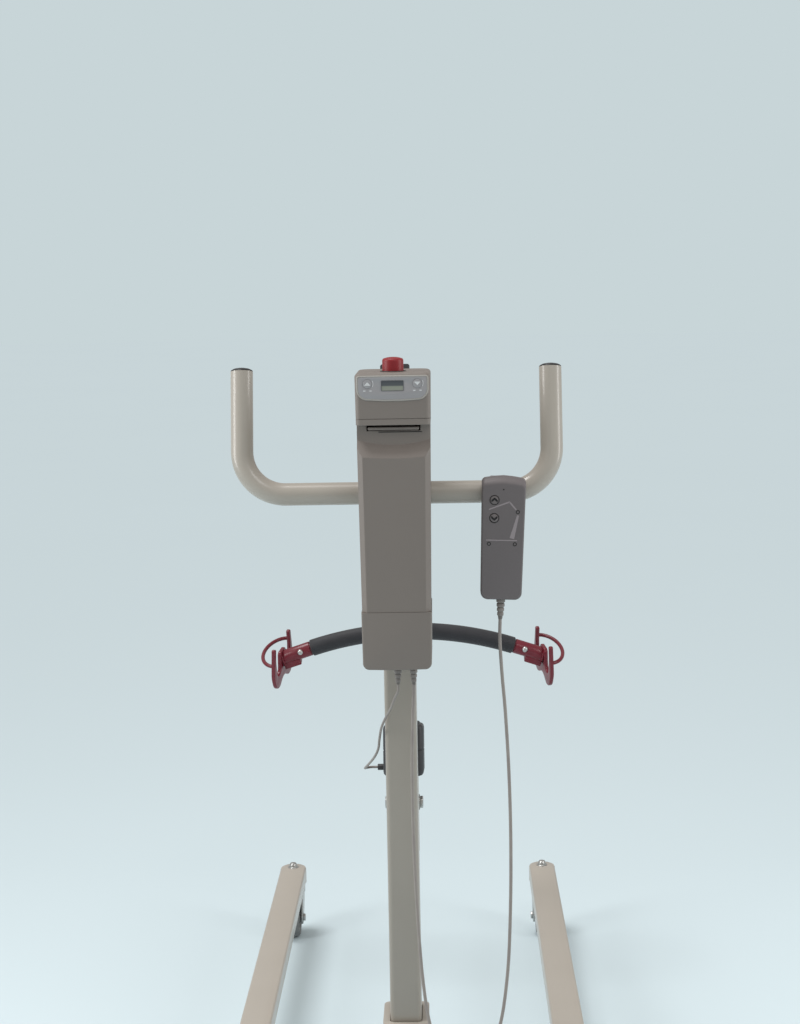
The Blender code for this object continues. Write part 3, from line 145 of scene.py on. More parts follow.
# Cord routes, from the lift axis
LEAD_DIAMETER, LEAD_LENGTH = 0.0035, 0.284
LEAD_ROUTE = (
    (-0.0010, -0.0850, PLUG_END - GAP), (-0.0012, -0.0850, 0.7450), (-0.0056, -0.0810, 0.7353),
    (-0.0115, -0.0680, 0.7180), (-0.0192, -0.0470, 0.7000), (-0.0262, -0.0345, 0.6820),
    (-0.0300, -0.0150, 0.6610), (-0.0330, 0.0120, 0.6400), (-0.0400, 0.0400, 0.6200),
    (-0.0500, 0.0700, 0.6010), (-0.0555, 0.0920, 0.5900), (-0.0540, 0.1030, 0.5872),
    (-0.0470, 0.1078, 0.5868), (-0.0383, 0.1078, 0.5868),
)
CORD_DIAMETER, CORD_LENGTH = 0.0045, 1.206
CORD_ROUTE = (
    (0.1358, -0.0775, 0.8449), (0.1354, -0.0775, 0.8360), (0.1348, -0.0779, 0.8120),
    (0.1360, -0.0785, 0.7850), (0.1378, -0.0790, 0.7570), (0.1413, -0.0800, 0.7100),
    (0.1450, -0.0820, 0.6300), (0.1465, -0.0840, 0.5400), (0.1450, -0.0860, 0.4400),
    (0.1400, -0.0880, 0.3500), (0.1280, -0.0900, 0.2750), (0.1060, -0.0910, 0.2320),
    (0.0800, -0.0920, 0.2200), (0.0540, -0.0920, 0.2340), (0.0350, -0.0910, 0.2780),
    (0.0250, -0.0900, 0.3500), (0.0190, -0.0890, 0.4500), (0.0160, -0.0880, 0.5500),
    (0.0158, -0.0870, 0.6400), (0.0174, -0.0855, 0.7000), (0.0196, -0.0850, 0.7430),
    (0.0200, -0.0850, PLUG_END - GAP),
)

# Colours, shader nodes and finishes

MM = 1000.0                 # texture scale of one millimetre


def srgb(code):
    """A hex colour as linear light."""
    values = [int(code[at:at + 2], 16) / 255 for at in (1, 3, 5)]
    return (*(v / 12.92 if v <= 0.04045 else ((v + 0.055) / 1.055) ** 2.4 for v in values), 1.0)


def put(tree, kind, inputs=None, **traits):
    """Add one node. Traits are its own settings; inputs are values, or sockets to link."""
    made = tree.nodes.new(kind)
    for name, value in traits.items():
        setattr(made, name, value)
    for name, value in (inputs or {}).items():
        if isinstance(value, bpy.types.NodeSocket):
            tree.links.new(value, made.inputs[name])
        else:
            made.inputs[name].default_value = value
    return made


def blank_material(name, roughness, metallic=0.0, ior=1.5, coat=0.0, coat_roughness=0.1):
    """A material with only its shader, and the object's coordinates in metres."""
    material = bpy.data.materials.new(name)
    material.use_nodes = True
    tree = material.node_tree
    shader = tree.nodes["Principled BSDF"]
    shader.inputs["Roughness"].default_value = roughness
    shader.inputs["Metallic"].default_value = metallic
    shader.inputs["IOR"].default_value = ior
    shader.inputs["Coat Weight"].default_value = coat
    shader.inputs["Coat Roughness"].default_value = coat_roughness
    place = put(tree, "ShaderNodeTexCoord").outputs["Object"]
    return material, tree, shader, place


def shade_variation(tree, shader, place, colour, worn, span, share=0.25):
    """Colour that drifts from its own shade to a worn one over a span in metres."""
    drift = put(tree, "ShaderNodeTexNoise", {"Vector": place, "Scale": 1 / span, "Detail": 3.0})
    ramp = put(tree, "ShaderNodeMapRange", {"Value": drift.outputs["Fac"], "From Min": 0.35, "From Max": 0.75,
                                            "To Min": 0.0, "To Max": share})
    mix = put(tree, "ShaderNodeMix", {0: ramp.outputs["Result"], 6: srgb(colour), 7: srgb(worn)},
              data_type="RGBA")
    tree.links.new(mix.outputs[2], shader.inputs["Base Color"])
    return drift


def grain(tree, shader, height, strength, depth):
    """Bump from a height socket, its depth in metres."""
    bump = put(tree, "ShaderNodeBump", {"Height": height, "Strength": strength, "Distance": depth})
    tree.links.new(bump.outputs["Normal"], shader.inputs["Normal"])


def powder_coat(name, colour, worn, coat=0.35):
    """Polyester powder coat: glossy, with an orange peel a couple of millimetres across."""
    material, tree, shader, place = blank_material(name, 0.34, coat=coat, coat_roughness=0.12)
    shade_variation(tree, shader, place, colour, worn, 0.12)
    peel = put(tree, "ShaderNodeTexNoise", {"Vector": place, "Scale": MM / 2.4, "Detail": 1.0})
    grain(tree, shader, peel.outputs["Fac"], 0.22, 0.00012)
    return material


def moulded_plastic(name, colour, worn, grain_mm, roughness=0.55, depth=0.00010):
    """Injection-moulded ABS with a spark-eroded texture, drawn coarse enough to show."""
    material, tree, shader, place = blank_material(name, roughness, ior=1.53)
    shade_variation(tree, shader, place, colour, worn, 0.09)
    pits = put(tree, "ShaderNodeTexNoise", {"Vector": place, "Scale": MM / grain_mm, "Detail": 2.0})
    grain(tree, shader, pits.outputs["Fac"], 0.35, depth)
    return material


def gloss_plastic(name, colour, worn, roughness=0.25, coat=0.2):
    """Polished nylon or acetal: smooth, with faint handling haze."""
    material, tree, shader, place = blank_material(name, roughness, ior=1.5, coat=coat)
    drift = shade_variation(tree, shader, place, colour, worn, 0.02)
    haze = put(tree, "ShaderNodeMapRange", {"Value": drift.outputs["Fac"], "To Min": roughness - 0.05,
                                            "To Max": roughness + 0.12})
    tree.links.new(haze.outputs["Result"], shader.inputs["Roughness"])
    return material


def plated_steel(name, colour, roughness, brushed_mm=0.0):
    """Zinc or chrome plate: metal, with faint clouding and, where asked, drawn lines."""
    material, tree, shader, place = blank_material(name, roughness, metallic=1.0)
    shade_variation(tree, shader, place, colour, "#8d9096", 0.018, 0.35)
    if brushed_mm:
        flat = put(tree, "ShaderNodeMapping", {"Vector": place, "Scale": (1.0, 0.04, 0.04)})
        lines = put(tree, "ShaderNodeTexNoise", {"Vector": flat.outputs["Vector"], "Scale": MM / brushed_mm})
        grain(tree, shader, lines.outputs["Fac"], 0.15, 0.00005)
    return material


def soft_sleeve(name):
    """Closed-cell foam sleeve: matt black with a skin of fine pores and a cool sheen."""
    material, tree, shader, place = blank_material(name, 0.62, ior=1.48)
    shader.inputs["Sheen Weight"].default_value = 0.12
    shader.inputs["Sheen Roughness"].default_value = 0.5
    shade_variation(tree, shader, place, "#1f1f24", "#2b2b30", 0.03, 0.5)
    pores = put(tree, "ShaderNodeTexVoronoi", {"Vector": place, "Scale": MM / 0.9})
    grain(tree, shader, pores.outputs["Distance"], 0.25, 0.00012)
    return material


def tyre_rubber(name):
    """Grey non-marking tyre: matt, dusty where it rolls."""
    material, tree, shader, place = blank_material(name, 0.78, ior=1.5)
    shade_variation(tree, shader, place, "#6e7072", "#8b8a86", 0.012, 0.6)
    dust = put(tree, "ShaderNodeTexNoise", {"Vector": place, "Scale": MM / 0.7, "Detail": 4.0})
    grain(tree, shader, dust.outputs["Fac"], 0.3, 0.0001)
    return material


def cable_jacket(name, colour):
    """PVC jacket: satin, a little uneven along its length."""
    material, tree, shader, place = blank_material(name, 0.45, ior=1.52)
    shade_variation(tree, shader, place, colour, "#a7a197", 0.03, 0.4)
    skin = put(tree, "ShaderNodeTexNoise", {"Vector": place, "Scale": MM / 1.1, "Detail": 1.0})
    grain(tree, shader, skin.outputs["Fac"], 0.12, 0.00008)
    return material


def printed_film(name, colour):
    """Back-printed polyester film: even colour under a fine satin emboss."""
    material, tree, shader, place = blank_material(name, 0.42, ior=1.57)
    shade_variation(tree, shader, place, colour, "#9b9ea1", 0.05, 0.3)
    emboss = put(tree, "ShaderNodeTexNoise", {"Vector": place, "Scale": MM / 0.6, "Detail": 1.0})
    grain(tree, shader, emboss.outputs["Fac"], 0.12, 0.00005)
    return material


def display_window(name, low, high):
    """Reflective LCD behind a clear window: dark frame shadow above, green-grey glass below."""
    material, tree, shader, place = blank_material(name, 0.16, ior=1.49, coat=0.5, coat_roughness=0.05)
    height = put(tree, "ShaderNodeSeparateXYZ", {"Vector": place}).outputs["Z"]
    share = put(tree, "ShaderNodeMapRange", {"Value": height, "From Min": low, "From Max": high})
    ramp = put(tree, "ShaderNodeValToRGB", {"Fac": share.outputs["Result"]})
    stops = ((0.0, "#8f9186"), (0.42, "#898c7f"), (0.52, "#4c4f52"), (0.80, "#45484d"), (1.0, "#3b3d43"))
    while len(ramp.color_ramp.elements) < len(stops):
        ramp.color_ramp.elements.new(0.5)
    for element, (at, shade) in zip(ramp.color_ramp.elements, stops):
        element.position = at
        element.color = srgb(shade)
    cells = put(tree, "ShaderNodeTexChecker", {"Vector": place, "Scale": MM / 0.8,
                                               "Color1": (1, 1, 1, 1), "Color2": (0.94, 0.94, 0.94, 1)})
    mix = put(tree, "ShaderNodeMix", {0: 1.0, 6: ramp.outputs["Color"], 7: cells.outputs["Color"]},
              data_type="RGBA", blend_type="MULTIPLY")
    tree.links.new(mix.outputs[2], shader.inputs["Base Color"])
    return material


def ink(name, colour, thin="#8a8784"):
    """Pad-printed ink: flat and matt, a little thin in places."""
    material, tree, shader, place = blank_material(name, 0.7)
    shade_variation(tree, shader, place, colour, thin, 0.004, 0.25)
    return material


CREAM = powder_coat("powder_coated_steel_cream", "#aaa399", "#9e978c")
# Painted shade: the mast's cream is a little darker than the rest, for the control box's shade on the mast
MAST_CREAM_PAINTED_SHADE = powder_coat("powder_coated_steel_cream_painted_shade", "#9d968c", "#918a80")
RED = powder_coat("powder_coated_steel_crimson", "#6c1626", "#52121d", 0.04)
BOX = moulded_plastic("moulded_abs_warm_grey", "#7b736d", "#827a73", 1.1)
HANDSET_ABS = moulded_plastic("moulded_abs_dark_grey", "#666061", "#6e6767", 0.9)
KEY_ABS = moulded_plastic("moulded_abs_key_grey", "#6e6767", "#645e5d", 0.8, 0.5)
BLACK = gloss_plastic("moulded_nylon_black", "#121217", "#1d1d22", 0.42)
STOP = gloss_plastic("polished_abs_signal_red", "#8c121c", "#7a1019", 0.42, 0.0)
SLEEVE = soft_sleeve("foam_sleeve_black")
ZINC = plated_steel("zinc_plated_steel", "#c3c3c0", 0.34)
CHROME = plated_steel("hard_chromed_steel", "#d2d2d2", 0.14, 0.4)
TYRE = tyre_rubber("thermoplastic_tyre_grey")
HOUSING = moulded_plastic("moulded_abs_charcoal", "#2b2b2e", "#37373a", 1.3, 0.5)
RUBBER = moulded_plastic("moulded_rubber_black", "#29292b", "#3a3a3a", 1.0, 0.85)
HUB = moulded_plastic("moulded_polypropylene_hub", "#8c8d8c", "#808180", 1.2, 0.5)
JACKET = cable_jacket("pvc_jacket_grey", "#8d8581")
# Painted shade: the reliefs' cores are darker than their rings, so the gaps between the rings read as shade
RELIEF_CORE_SHADE = cable_jacket("pvc_relief_core_painted_shade", "#5b5553")
RELIEF_GREY = cable_jacket("moulded_vinyl_relief_grey", "#726b69")
FILM = printed_film("polyester_film_cool_grey", "#969395")
LCD = display_window("lcd_behind_acrylic", DISPLAY_Z - 0.0062, DISPLAY_Z + 0.0063)
WHITE_INK = ink("pad_print_white", "#d9dadb")
PALE_INK = ink("pad_print_pale_grey", "#948b8e")
BLACK_INK = ink("pad_print_black", "#0c0c0e", "#242324")
BORDER_INK = ink("printed_border_grey", "#5f5f62", "#6b6b6d")
# Painted shade in the lever's slot, in the strip under the lever, round the stop button's base and round the
# handset keys; the same dark also prints the dots of the handset's sign
SHADE_AND_DARK_PRINT = moulded_plastic("dark_painted_shade_and_print", "#2b2928", "#332f2e", 1.0, 0.8)
# Painted highlight: the panel's raised rim is coloured lighter than the box, for the light it catches
RIM_PAINTED_HIGHLIGHT = moulded_plastic("moulded_abs_rim_painted_highlight", "#9f9b95", "#a8a49e", 0.9, 0.45)


# Shape makers: each returns a mesh in its own axes

ARC_STEP = math.radians(7.5)


def shift(x=0.0, y=0.0, z=0.0):
    return Matrix.Translation((x, y, z))


def turn(degrees, axis):
    return Matrix.Rotation(math.radians(degrees), 4, axis)


FACE_X = turn(90, "Z") @ turn(90, "X")   # an outline lies in Y and Z
FACE_Y = turn(90, "X")                   # an outline lies in X and Z, facing -Y
ALONG_X = turn(90, "Y")                  # a turned shape lies along X
ALONG_Y = turn(-90, "X")                 # a turned shape lies along Y


def flatten(thing):
    """The object's evaluated mesh, with the object removed."""
    bpy.context.view_layer.update()
    depsgraph = bpy.context.evaluated_depsgraph_get()
    mesh = bpy.data.meshes.new_from_object(thing.evaluated_get(depsgraph))
    bpy.data.objects.remove(thing, do_unlink=True)
    return mesh


def cleaned(mesh):
    """The mesh welded, with its faces pointing out."""
    work = bmesh.new()
    work.from_mesh(mesh)
    bmesh.ops.remove_doubles(work, verts=work.verts, dist=1e-6)
    bmesh.ops.recalc_face_normals(work, faces=work.faces)
    work.to_mesh(mesh)
    work.free()
    return mesh


def staged(name, data):
    """A new object in the scene."""
    thing = bpy.data.objects.new(name, data)
    bpy.context.scene.collection.objects.link(thing)
    return thing


def soften(mesh, width, segments=3, least=40):
    """Round the edges that turn by more than the least angle in degrees."""
    work = bmesh.new()
    work.from_mesh(mesh)
    bmesh.ops.dissolve_limit(work, angle_limit=math.radians(1), verts=work.verts, edges=work.edges)
    sharp = [edge for edge in work.edges if edge.calc_face_angle(0.0) > math.radians(least)]
    bmesh.ops.bevel(work, geom=sharp, offset=width, segments=segments, profile=0.5,
                    affect="EDGES", clamp_overlap=True)
    work.to_mesh(mesh)
    work.free()
    return mesh


def moved(mesh, *steps):
    for step in steps:
        mesh.transform(step)
    return mesh


def box(size, centre, round_edges=0.0, segments=3):
    """A block with rounded edges."""
    work = bmesh.new()
    bmesh.ops.create_cube(work, size=1.0)
    bmesh.ops.scale(work, verts=work.verts, vec=size)
    if round_edges:
        bmesh.ops.bevel(work, geom=work.edges[:], offset=round_edges, segments=segments,
                        profile=0.5, affect="EDGES")
    mesh = bpy.data.meshes.new("block")
    work.to_mesh(mesh)
    work.free()
    return moved(mesh, Matrix.Translation(centre))


def rod(radius, start, end, sides=36, round_edges=0.0):
    """A round bar between two points."""
    start, end = Vector(start), Vector(end)
    work = bmesh.new()
    bmesh.ops.create_cone(work, cap_ends=True, segments=sides, radius1=radius, radius2=radius,
                          depth=(end - start).length)
    mesh = bpy.data.meshes.new("rod")
    work.to_mesh(mesh)
    work.free()
    if round_edges:
        soften(mesh, round_edges, 2, 50)
    aim = (end - start).to_track_quat("Z", "Y").to_matrix().to_4x4()
    return moved(mesh, aim, Matrix.Translation((start + end) / 2))


def outline(corners):
    """A closed outline through (x, y, radius) corners, each rounded by an arc."""
    points = []
    for index, (x, y, radius) in enumerate(corners):
        corner = Vector((x, y))
        if radius == 0:
            points.append(corner)
            continue
        before = (Vector(corners[index - 1][:2]) - corner).normalized()
        after = (Vector(corners[(index + 1) % len(corners)][:2]) - corner).normalized()
        half = before.angle(after) / 2
        centre = corner + (before + after).normalized() * radius / math.sin(half)
        first = corner + before * radius / math.tan(half) - centre
        sweep = first.angle_signed(corner + after * radius / math.tan(half) - centre)
        count = max(1, round(abs(sweep) / ARC_STEP))
        for step in range(count + 1):
            points.append(centre + Matrix.Rotation(-sweep * step / count, 2) @ first)
    return points


def rectangle(width, height, radius, centre=(0.0, 0.0)):
    x, y = width / 2, height / 2
    signs = ((-1, -1), (1, -1), (1, 1), (-1, 1))
    return outline([(centre[0] + i * x, centre[1] + j * y, radius) for i, j in signs])


def circle(radius, centre=(0.0, 0.0), sides=40):
    angles = (2 * math.pi * step / sides for step in range(sides))
    return [Vector((centre[0] + radius * math.cos(a), centre[1] + radius * math.sin(a))) for a in angles]


def plate(outlines, thickness, round_edges=0.0, segments=3):
    """A flat outline with its holes, extruded half its thickness each way."""
    curve = bpy.data.curves.new("plate", "CURVE")
    curve.dimensions = "2D"
    curve.fill_mode = "BOTH"
    curve.extrude = thickness / 2
    for points in outlines:
        spline = curve.splines.new("POLY")
        spline.points.add(len(points) - 1)
        for point, (x, y) in zip(spline.points, points):
            point.co = (x, y, 0.0, 1.0)
        spline.use_cyclic_u = True
    mesh = cleaned(flatten(staged("plate", curve)))
    return soften(mesh, round_edges, segments) if round_edges else mesh


def turned(profile, steps=48):
    """A profile of (radius, height) points turned about Z."""
    mesh = bpy.data.meshes.new("profile")
    mesh.from_pydata([(radius, 0.0, height) for radius, height in profile],
                     [(n, n + 1) for n in range(len(profile) - 1)], [])
    thing = staged("turned", mesh)
    screw = thing.modifiers.new("turn", "SCREW")
    screw.steps = screw.render_steps = steps
    screw.use_merge_vertices = True
    screw.merge_threshold = 1e-5
    return cleaned(flatten(thing))


def rounded(profile, radius=0.001):
    """A turned profile with each corner of it cut by a small arc."""
    points = [profile[0]]
    for before, corner, after in zip(profile, profile[1:], profile[2:]):
        a, b, c = Vector(before), Vector(corner), Vector(after)
        reach = min(radius, (a - b).length / 2.2, (c - b).length / 2.2)
        if reach < 1e-5 or (a - b).angle(c - b) > math.radians(168):
            points.append(corner)
            continue
        start, end = b + (a - b).normalized() * reach, b + (c - b).normalized() * reach
        for step in range(4):
            t = step / 3
            points.append(tuple(start * (1 - t) ** 2 + b * 2 * t * (1 - t) + end * t ** 2))
    return points + [profile[-1]]


def lathe(profile, edge=0.001, steps=48):
    """A turned shape with its corners eased."""
    return turned(rounded(profile, edge), steps)


def ring_profile(face):
    """A closed profile: the points of its upper half, their mirror images, and the first point again."""
    return face + [(reach, -height) for reach, height in reversed(face)] + face[:1]


def both_halves(corners):
    """Corners of half an outline and their mirror images about X = 0, with those on it kept once."""
    return corners + [(-x, y, radius) for x, y, radius in reversed(corners) if x]


def quarter(steps):
    """Angles that divide a quarter turn, its start left out."""
    return [math.pi / 2 * step / steps for step in range(1, steps + 1)]


def loft(rings):
    """A skin through rings of equal count, closed at both ends."""
    count = len(rings[0])
    faces = [tuple(reversed(range(count)))]
    for level in range(len(rings) - 1):
        low, high = level * count, (level + 1) * count
        faces += [(low + n, low + (n + 1) % count, high + (n + 1) % count, high + n) for n in range(count)]
    faces.append(tuple(range((len(rings) - 1) * count, len(rings) * count)))
    mesh = bpy.data.meshes.new("loft")
    mesh.from_pydata([tuple(point) for ring in rings for point in ring], [], faces)
    return cleaned(mesh)


def twin_plates(outlines, thickness, edge, x):
    """Two upright plates, facing out, one at the same distance on each side of X = 0."""
    return [moved(plate(outlines, thickness, edge), FACE_X, shift(side * x)) for side in (-1, 1)]


def hexagon(radius, height, place, washer=0.0):
    """A chamfered hexagon head standing along Z, on a washer where asked."""
    head = soften(plate([circle(radius, sides=6)], height), min(0.0012, height / 4), 2, 30)
    parts = [moved(head, shift(z=washer + height / 2))]
    if washer:
        parts.append(lathe([(0, washer), (radius * 1.25, washer), (radius * 1.25, 0), (0, 0)], 0.0005))
    return [moved(mesh, place) for mesh in parts]


def side_head(side, x, y, z, radius, height, washer):
    """A hexagon head on its washer, facing out on one side of the lift."""
    return hexagon(radius, height, shift(side * x, y, z) @ turn(side * 90, "Y"), washer)


def joined(meshes):
    """Several closed meshes as one."""
    work = bmesh.new()
    for mesh in meshes:
        work.from_mesh(mesh)
    whole = bpy.data.meshes.new("joined")
    work.to_mesh(whole)
    work.free()
    return whole


def smooth_route(points, count):
    """Even points along the smooth curve through a route's own points."""
    path = [Vector(p) for p in points]
    path = [2 * path[0] - path[1]] + path + [2 * path[-1] - path[-2]]
    fine = []
    for a, b, c, d in zip(path, path[1:], path[2:], path[3:]):
        for step in range(24):
            t = step / 24
            fine.append(0.5 * (2 * b + (c - a) * t + (2 * a - 5 * b + 4 * c - d) * t ** 2
                               + (3 * b - a - 3 * c + d) * t ** 3))
    fine.append(path[-2])
    reach = [0.0]
    for a, b in zip(fine, fine[1:]):
        reach.append(reach[-1] + (b - a).length)
    even, place = [], 0
    for step in range(count):
        goal = reach[-1] * step / (count - 1)
        while place < len(reach) - 2 and reach[place + 1] < goal:
            place += 1
        part = (goal - reach[place]) / (reach[place + 1] - reach[place])
        even.append(fine[place].lerp(fine[place + 1], min(1.0, part)))
    return even


# Geometry Nodes: pieces that follow a path or repeat

def new_tree(name, sizes):
    """A geometry tree with named size inputs, its group input and its output."""
    tree = bpy.data.node_groups.new(name, "GeometryNodeTree")
    tree.interface.new_socket("Geometry", in_out="INPUT", socket_type="NodeSocketGeometry")
    for label, kind in sizes.items():
        tree.interface.new_socket(label, in_out="INPUT", socket_type=f"NodeSocket{kind}")
    tree.interface.new_socket("Material", in_out="INPUT", socket_type="NodeSocketMaterial")
    tree.interface.new_socket("Geometry", in_out="OUTPUT", socket_type="NodeSocketGeometry")
    return tree, put(tree, "NodeGroupInput").outputs


def close_tree(tree, geometry, material):
    """End a tree in real geometry with its material set."""
    real = put(tree, "GeometryNodeRealizeInstances", {"Geometry": geometry})
    dressed = put(tree, "GeometryNodeSetMaterial", {"Geometry": real.outputs["Geometry"],
                                                    "Material": material})
    put(tree, "NodeGroupOutput", {"Geometry": dressed.outputs["Geometry"]})
    return tree


def path_tree():
    """A round tube of given radius and facets along a curve, with closed ends."""
    tree, given = new_tree("tube_along_path", {"Radius": "Float", "Facets": "Int"})
    ring = put(tree, "GeometryNodeCurvePrimitiveCircle", {"Radius": given["Radius"],
                                                          "Resolution": given["Facets"]})
    tube = put(tree, "GeometryNodeCurveToMesh", {"Curve": given["Geometry"],
                                                 "Profile Curve": ring.outputs["Curve"], "Fill Caps": True})
    return close_tree(tree, tube.outputs["Mesh"], given["Material"])


def ring_tree():
    """Copies of one mesh set evenly round Z, each turned to face out."""
    tree, given = new_tree("copies_round_axis", {"Count": "Int"})
    row = put(tree, "GeometryNodePoints", {"Count": given["Count"]})
    index = put(tree, "GeometryNodeInputIndex").outputs["Index"]
    share = put(tree, "ShaderNodeMath", {0: index, 1: given["Count"]}, operation="DIVIDE")
    angle = put(tree, "ShaderNodeMath", {0: share.outputs["Value"], 1: 2 * math.pi}, operation="MULTIPLY")
    spin = put(tree, "ShaderNodeCombineXYZ", {"Z": angle.outputs["Value"]})
    copies = put(tree, "GeometryNodeInstanceOnPoints", {"Points": row.outputs["Points"],
                                                        "Instance": given["Geometry"],
                                                        "Rotation": spin.outputs["Vector"]})
    return close_tree(tree, copies.outputs["Instances"], given["Material"])


def stack_tree():
    """Copies of one mesh stacked down Z at a pitch, each narrower than the one above."""
    tree, given = new_tree("tapering_stack", {"Count": "Int", "Pitch": "Float", "Taper": "Float"})
    row = put(tree, "GeometryNodePoints", {"Count": given["Count"]})
    index = put(tree, "GeometryNodeInputIndex").outputs["Index"]
    fall = put(tree, "ShaderNodeMath", {0: index, 1: given["Pitch"]}, operation="MULTIPLY")
    down = put(tree, "ShaderNodeMath", {0: fall.outputs["Value"], 1: -1.0}, operation="MULTIPLY")
    place = put(tree, "ShaderNodeCombineXYZ", {"Z": down.outputs["Value"]})
    spread = put(tree, "GeometryNodeSetPosition", {"Geometry": row.outputs["Points"],
                                                   "Offset": place.outputs["Vector"]})
    loss = put(tree, "ShaderNodeMath", {0: index, 1: given["Taper"]}, operation="MULTIPLY")
    left = put(tree, "ShaderNodeMath", {0: 1.0, 1: loss.outputs["Value"]}, operation="SUBTRACT")
    scale = put(tree, "ShaderNodeCombineXYZ", {"X": left.outputs["Value"], "Y": left.outputs["Value"],
                                               "Z": 1.0})
    copies = put(tree, "GeometryNodeInstanceOnPoints", {"Points": spread.outputs["Geometry"],
                                                        "Instance": given["Geometry"],
                                                        "Scale": scale.outputs["Vector"]})
    return close_tree(tree, copies.outputs["Instances"], given["Material"])


PATH_TREE, RING_TREE, STACK_TREE = path_tree(), ring_tree(), stack_tree()


def grown(data, tree, material, **sizes):
    """The mesh that a tree makes from a curve or mesh at the given sizes."""
    thing = staged(tree.name, data)
    step = thing.modifiers.new("grow", "NODES")
    step.node_group = tree
    wanted = {name.title(): value for name, value in sizes.items()}
    wanted["Material"] = material
    for item in tree.interface.items_tree:
        if item.in_out == "INPUT" and item.name in wanted:
            step[item.identifier] = wanted[item.name]
    return flatten(thing)


def tube(points, radius, finish, facets=32, closed=False):
    """A round tube along a run of points."""
    curve = bpy.data.curves.new("path", "CURVE")
    curve.dimensions = "3D"
    spline = curve.splines.new("POLY")
    spline.points.add(len(points) - 1)
    for point, place in zip(spline.points, points):
        point.co = (*place, 1.0)
    spline.use_cyclic_u = closed
    return cleaned(grown(curve, PATH_TREE, finish, radius=radius, facets=facets))


# Dressing a piece

def dress(name, mesh, finish, body, place=LIFT, nodes=(), sharp=35):
    """One finished piece: placed, smoothed, given its finish, and set to ride on its body if it has one."""
    mesh.transform(place)
    mesh.materials.clear()
    mesh.materials.append(finish)
    mesh.shade_smooth()
    mesh.set_sharp_from_angle(angle=math.radians(sharp))
    thing = staged(name, mesh)
    if body:
        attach(thing, body)
    if nodes:
        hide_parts(*nodes)
    return thing


def built(mesh, add=(), cut=(), keep=(), edge=0.0):
    """A mesh with others welded to it, bounding it or cut from it, and its edges eased."""
    if not (add or cut or keep or edge):
        return mesh
    thing = staged("built", mesh)
    tools = []
    for operation, meshes in (("UNION", add), ("INTERSECT", keep), ("DIFFERENCE", cut)):
        for other in meshes:
            tool = staged("tool", other)
            tools.append(tool)
            step = thing.modifiers.new(operation.lower(), "BOOLEAN")
            step.operation = operation
            step.object = tool
    if edge:
        easing = thing.modifiers.new("ease", "BEVEL")
        easing.width = edge
        easing.segments = 2
        easing.limit_method = "ANGLE"
        easing.angle_limit = math.radians(40)
    made = flatten(thing)
    for tool in tools:
        bpy.data.objects.remove(tool, do_unlink=True)
    return cleaned(made)


# Camera, light and floor

def camera():
    """The photograph's camera, worked out from the vanishing lines and the handle's size."""
    lens = bpy.data.cameras.new("photo_camera")
    lens.sensor_fit = "VERTICAL"
    lens.sensor_height = 36.0
    focal_pixels, frame_height = 1810.0, 1024.0
    lens.lens = focal_pixels / frame_height * lens.sensor_height
    view = staged("photo_camera", lens)
    look_down, swing, roll = math.radians(7.8), math.radians(1.44), math.radians(1.03)
    aim = (Matrix.Rotation(swing, 4, "Z") @ Matrix.Rotation(math.pi / 2 - look_down, 4, "X")
           @ Matrix.Rotation(-roll, 4, "Z"))
    view.matrix_world = LIFT @ Matrix.Translation((0.0647, -2.435, 1.307)) @ aim
    bpy.context.scene.camera = view


def area_light(name, place, target, size, power):
    lamp = bpy.data.lights.new(name, "AREA")
    lamp.shape = "RECTANGLE"
    lamp.size, lamp.size_y = size
    lamp.energy = power
    thing = staged(name, lamp)
    aim = (Vector(target) - Vector(place)).to_track_quat("-Z", "Y").to_matrix().to_4x4()
    thing.matrix_world = Matrix.Translation(place) @ aim


def studio():
    """Pale floor and surroundings of one tone, soft sky light, a high sun and three soft lamps."""
    floor_finish, tree, shader, place = blank_material("matt_studio_floor", 0.9)
    shade_variation(tree, shader, place, "#cddbe0", "#cad8dd", 1.5, 0.2)
    shader.inputs["Specular IOR Level"].default_value = 0.0
    floor = staged("floor", plate([rectangle(60.0, 60.0, 0.5)], 0.02))
    floor.data.transform(Matrix.Translation((0, 0, -0.0105)))
    floor.data.materials.append(floor_finish)
    world = bpy.data.worlds.new("studio")
    bpy.context.scene.world = world
    world.use_nodes = True
    sky = world.node_tree
    light = sky.nodes["Background"]
    light.inputs["Color"].default_value = srgb("#f4f2ef")
    light.inputs["Strength"].default_value = 0.54
    seen = put(sky, "ShaderNodeBackground", {"Color": srgb("#c8d5d8"), "Strength": 1.0})
    ray = put(sky, "ShaderNodeLightPath").outputs["Is Camera Ray"]
    mix = put(sky, "ShaderNodeMixShader", {0: ray, 1: light.outputs["Background"],
                                           2: seen.outputs["Background"]})
    sky.links.new(mix.outputs["Shader"], sky.nodes["World Output"].inputs["Surface"])
    sun = bpy.data.lights.new("high_sun", "SUN")
    sun.energy = 1.50
    sun.angle = math.radians(24)
    sun_thing = staged("high_sun", sun)
    sun_thing.matrix_world = Vector((-0.30, 0.05, 1.0)).to_track_quat("Z", "Y").to_matrix().to_4x4()
    area_light("left_lamp", (-1.9, -0.75, 1.5), (0, MAST_Y, 1.0), (0.7, 1.4), 19)
    area_light("right_lamp", (1.9, -0.65, 1.5), (0, MAST_Y, 1.0), (0.5, 1.4), 12)
    area_light("front_lamp", (0.7, -2.1, 2.9), (0, MAST_Y, 1.0), (1.0, 0.7), 9)
    bpy.context.scene.view_settings.view_transform = "Standard"


camera()
studio()


# Cords

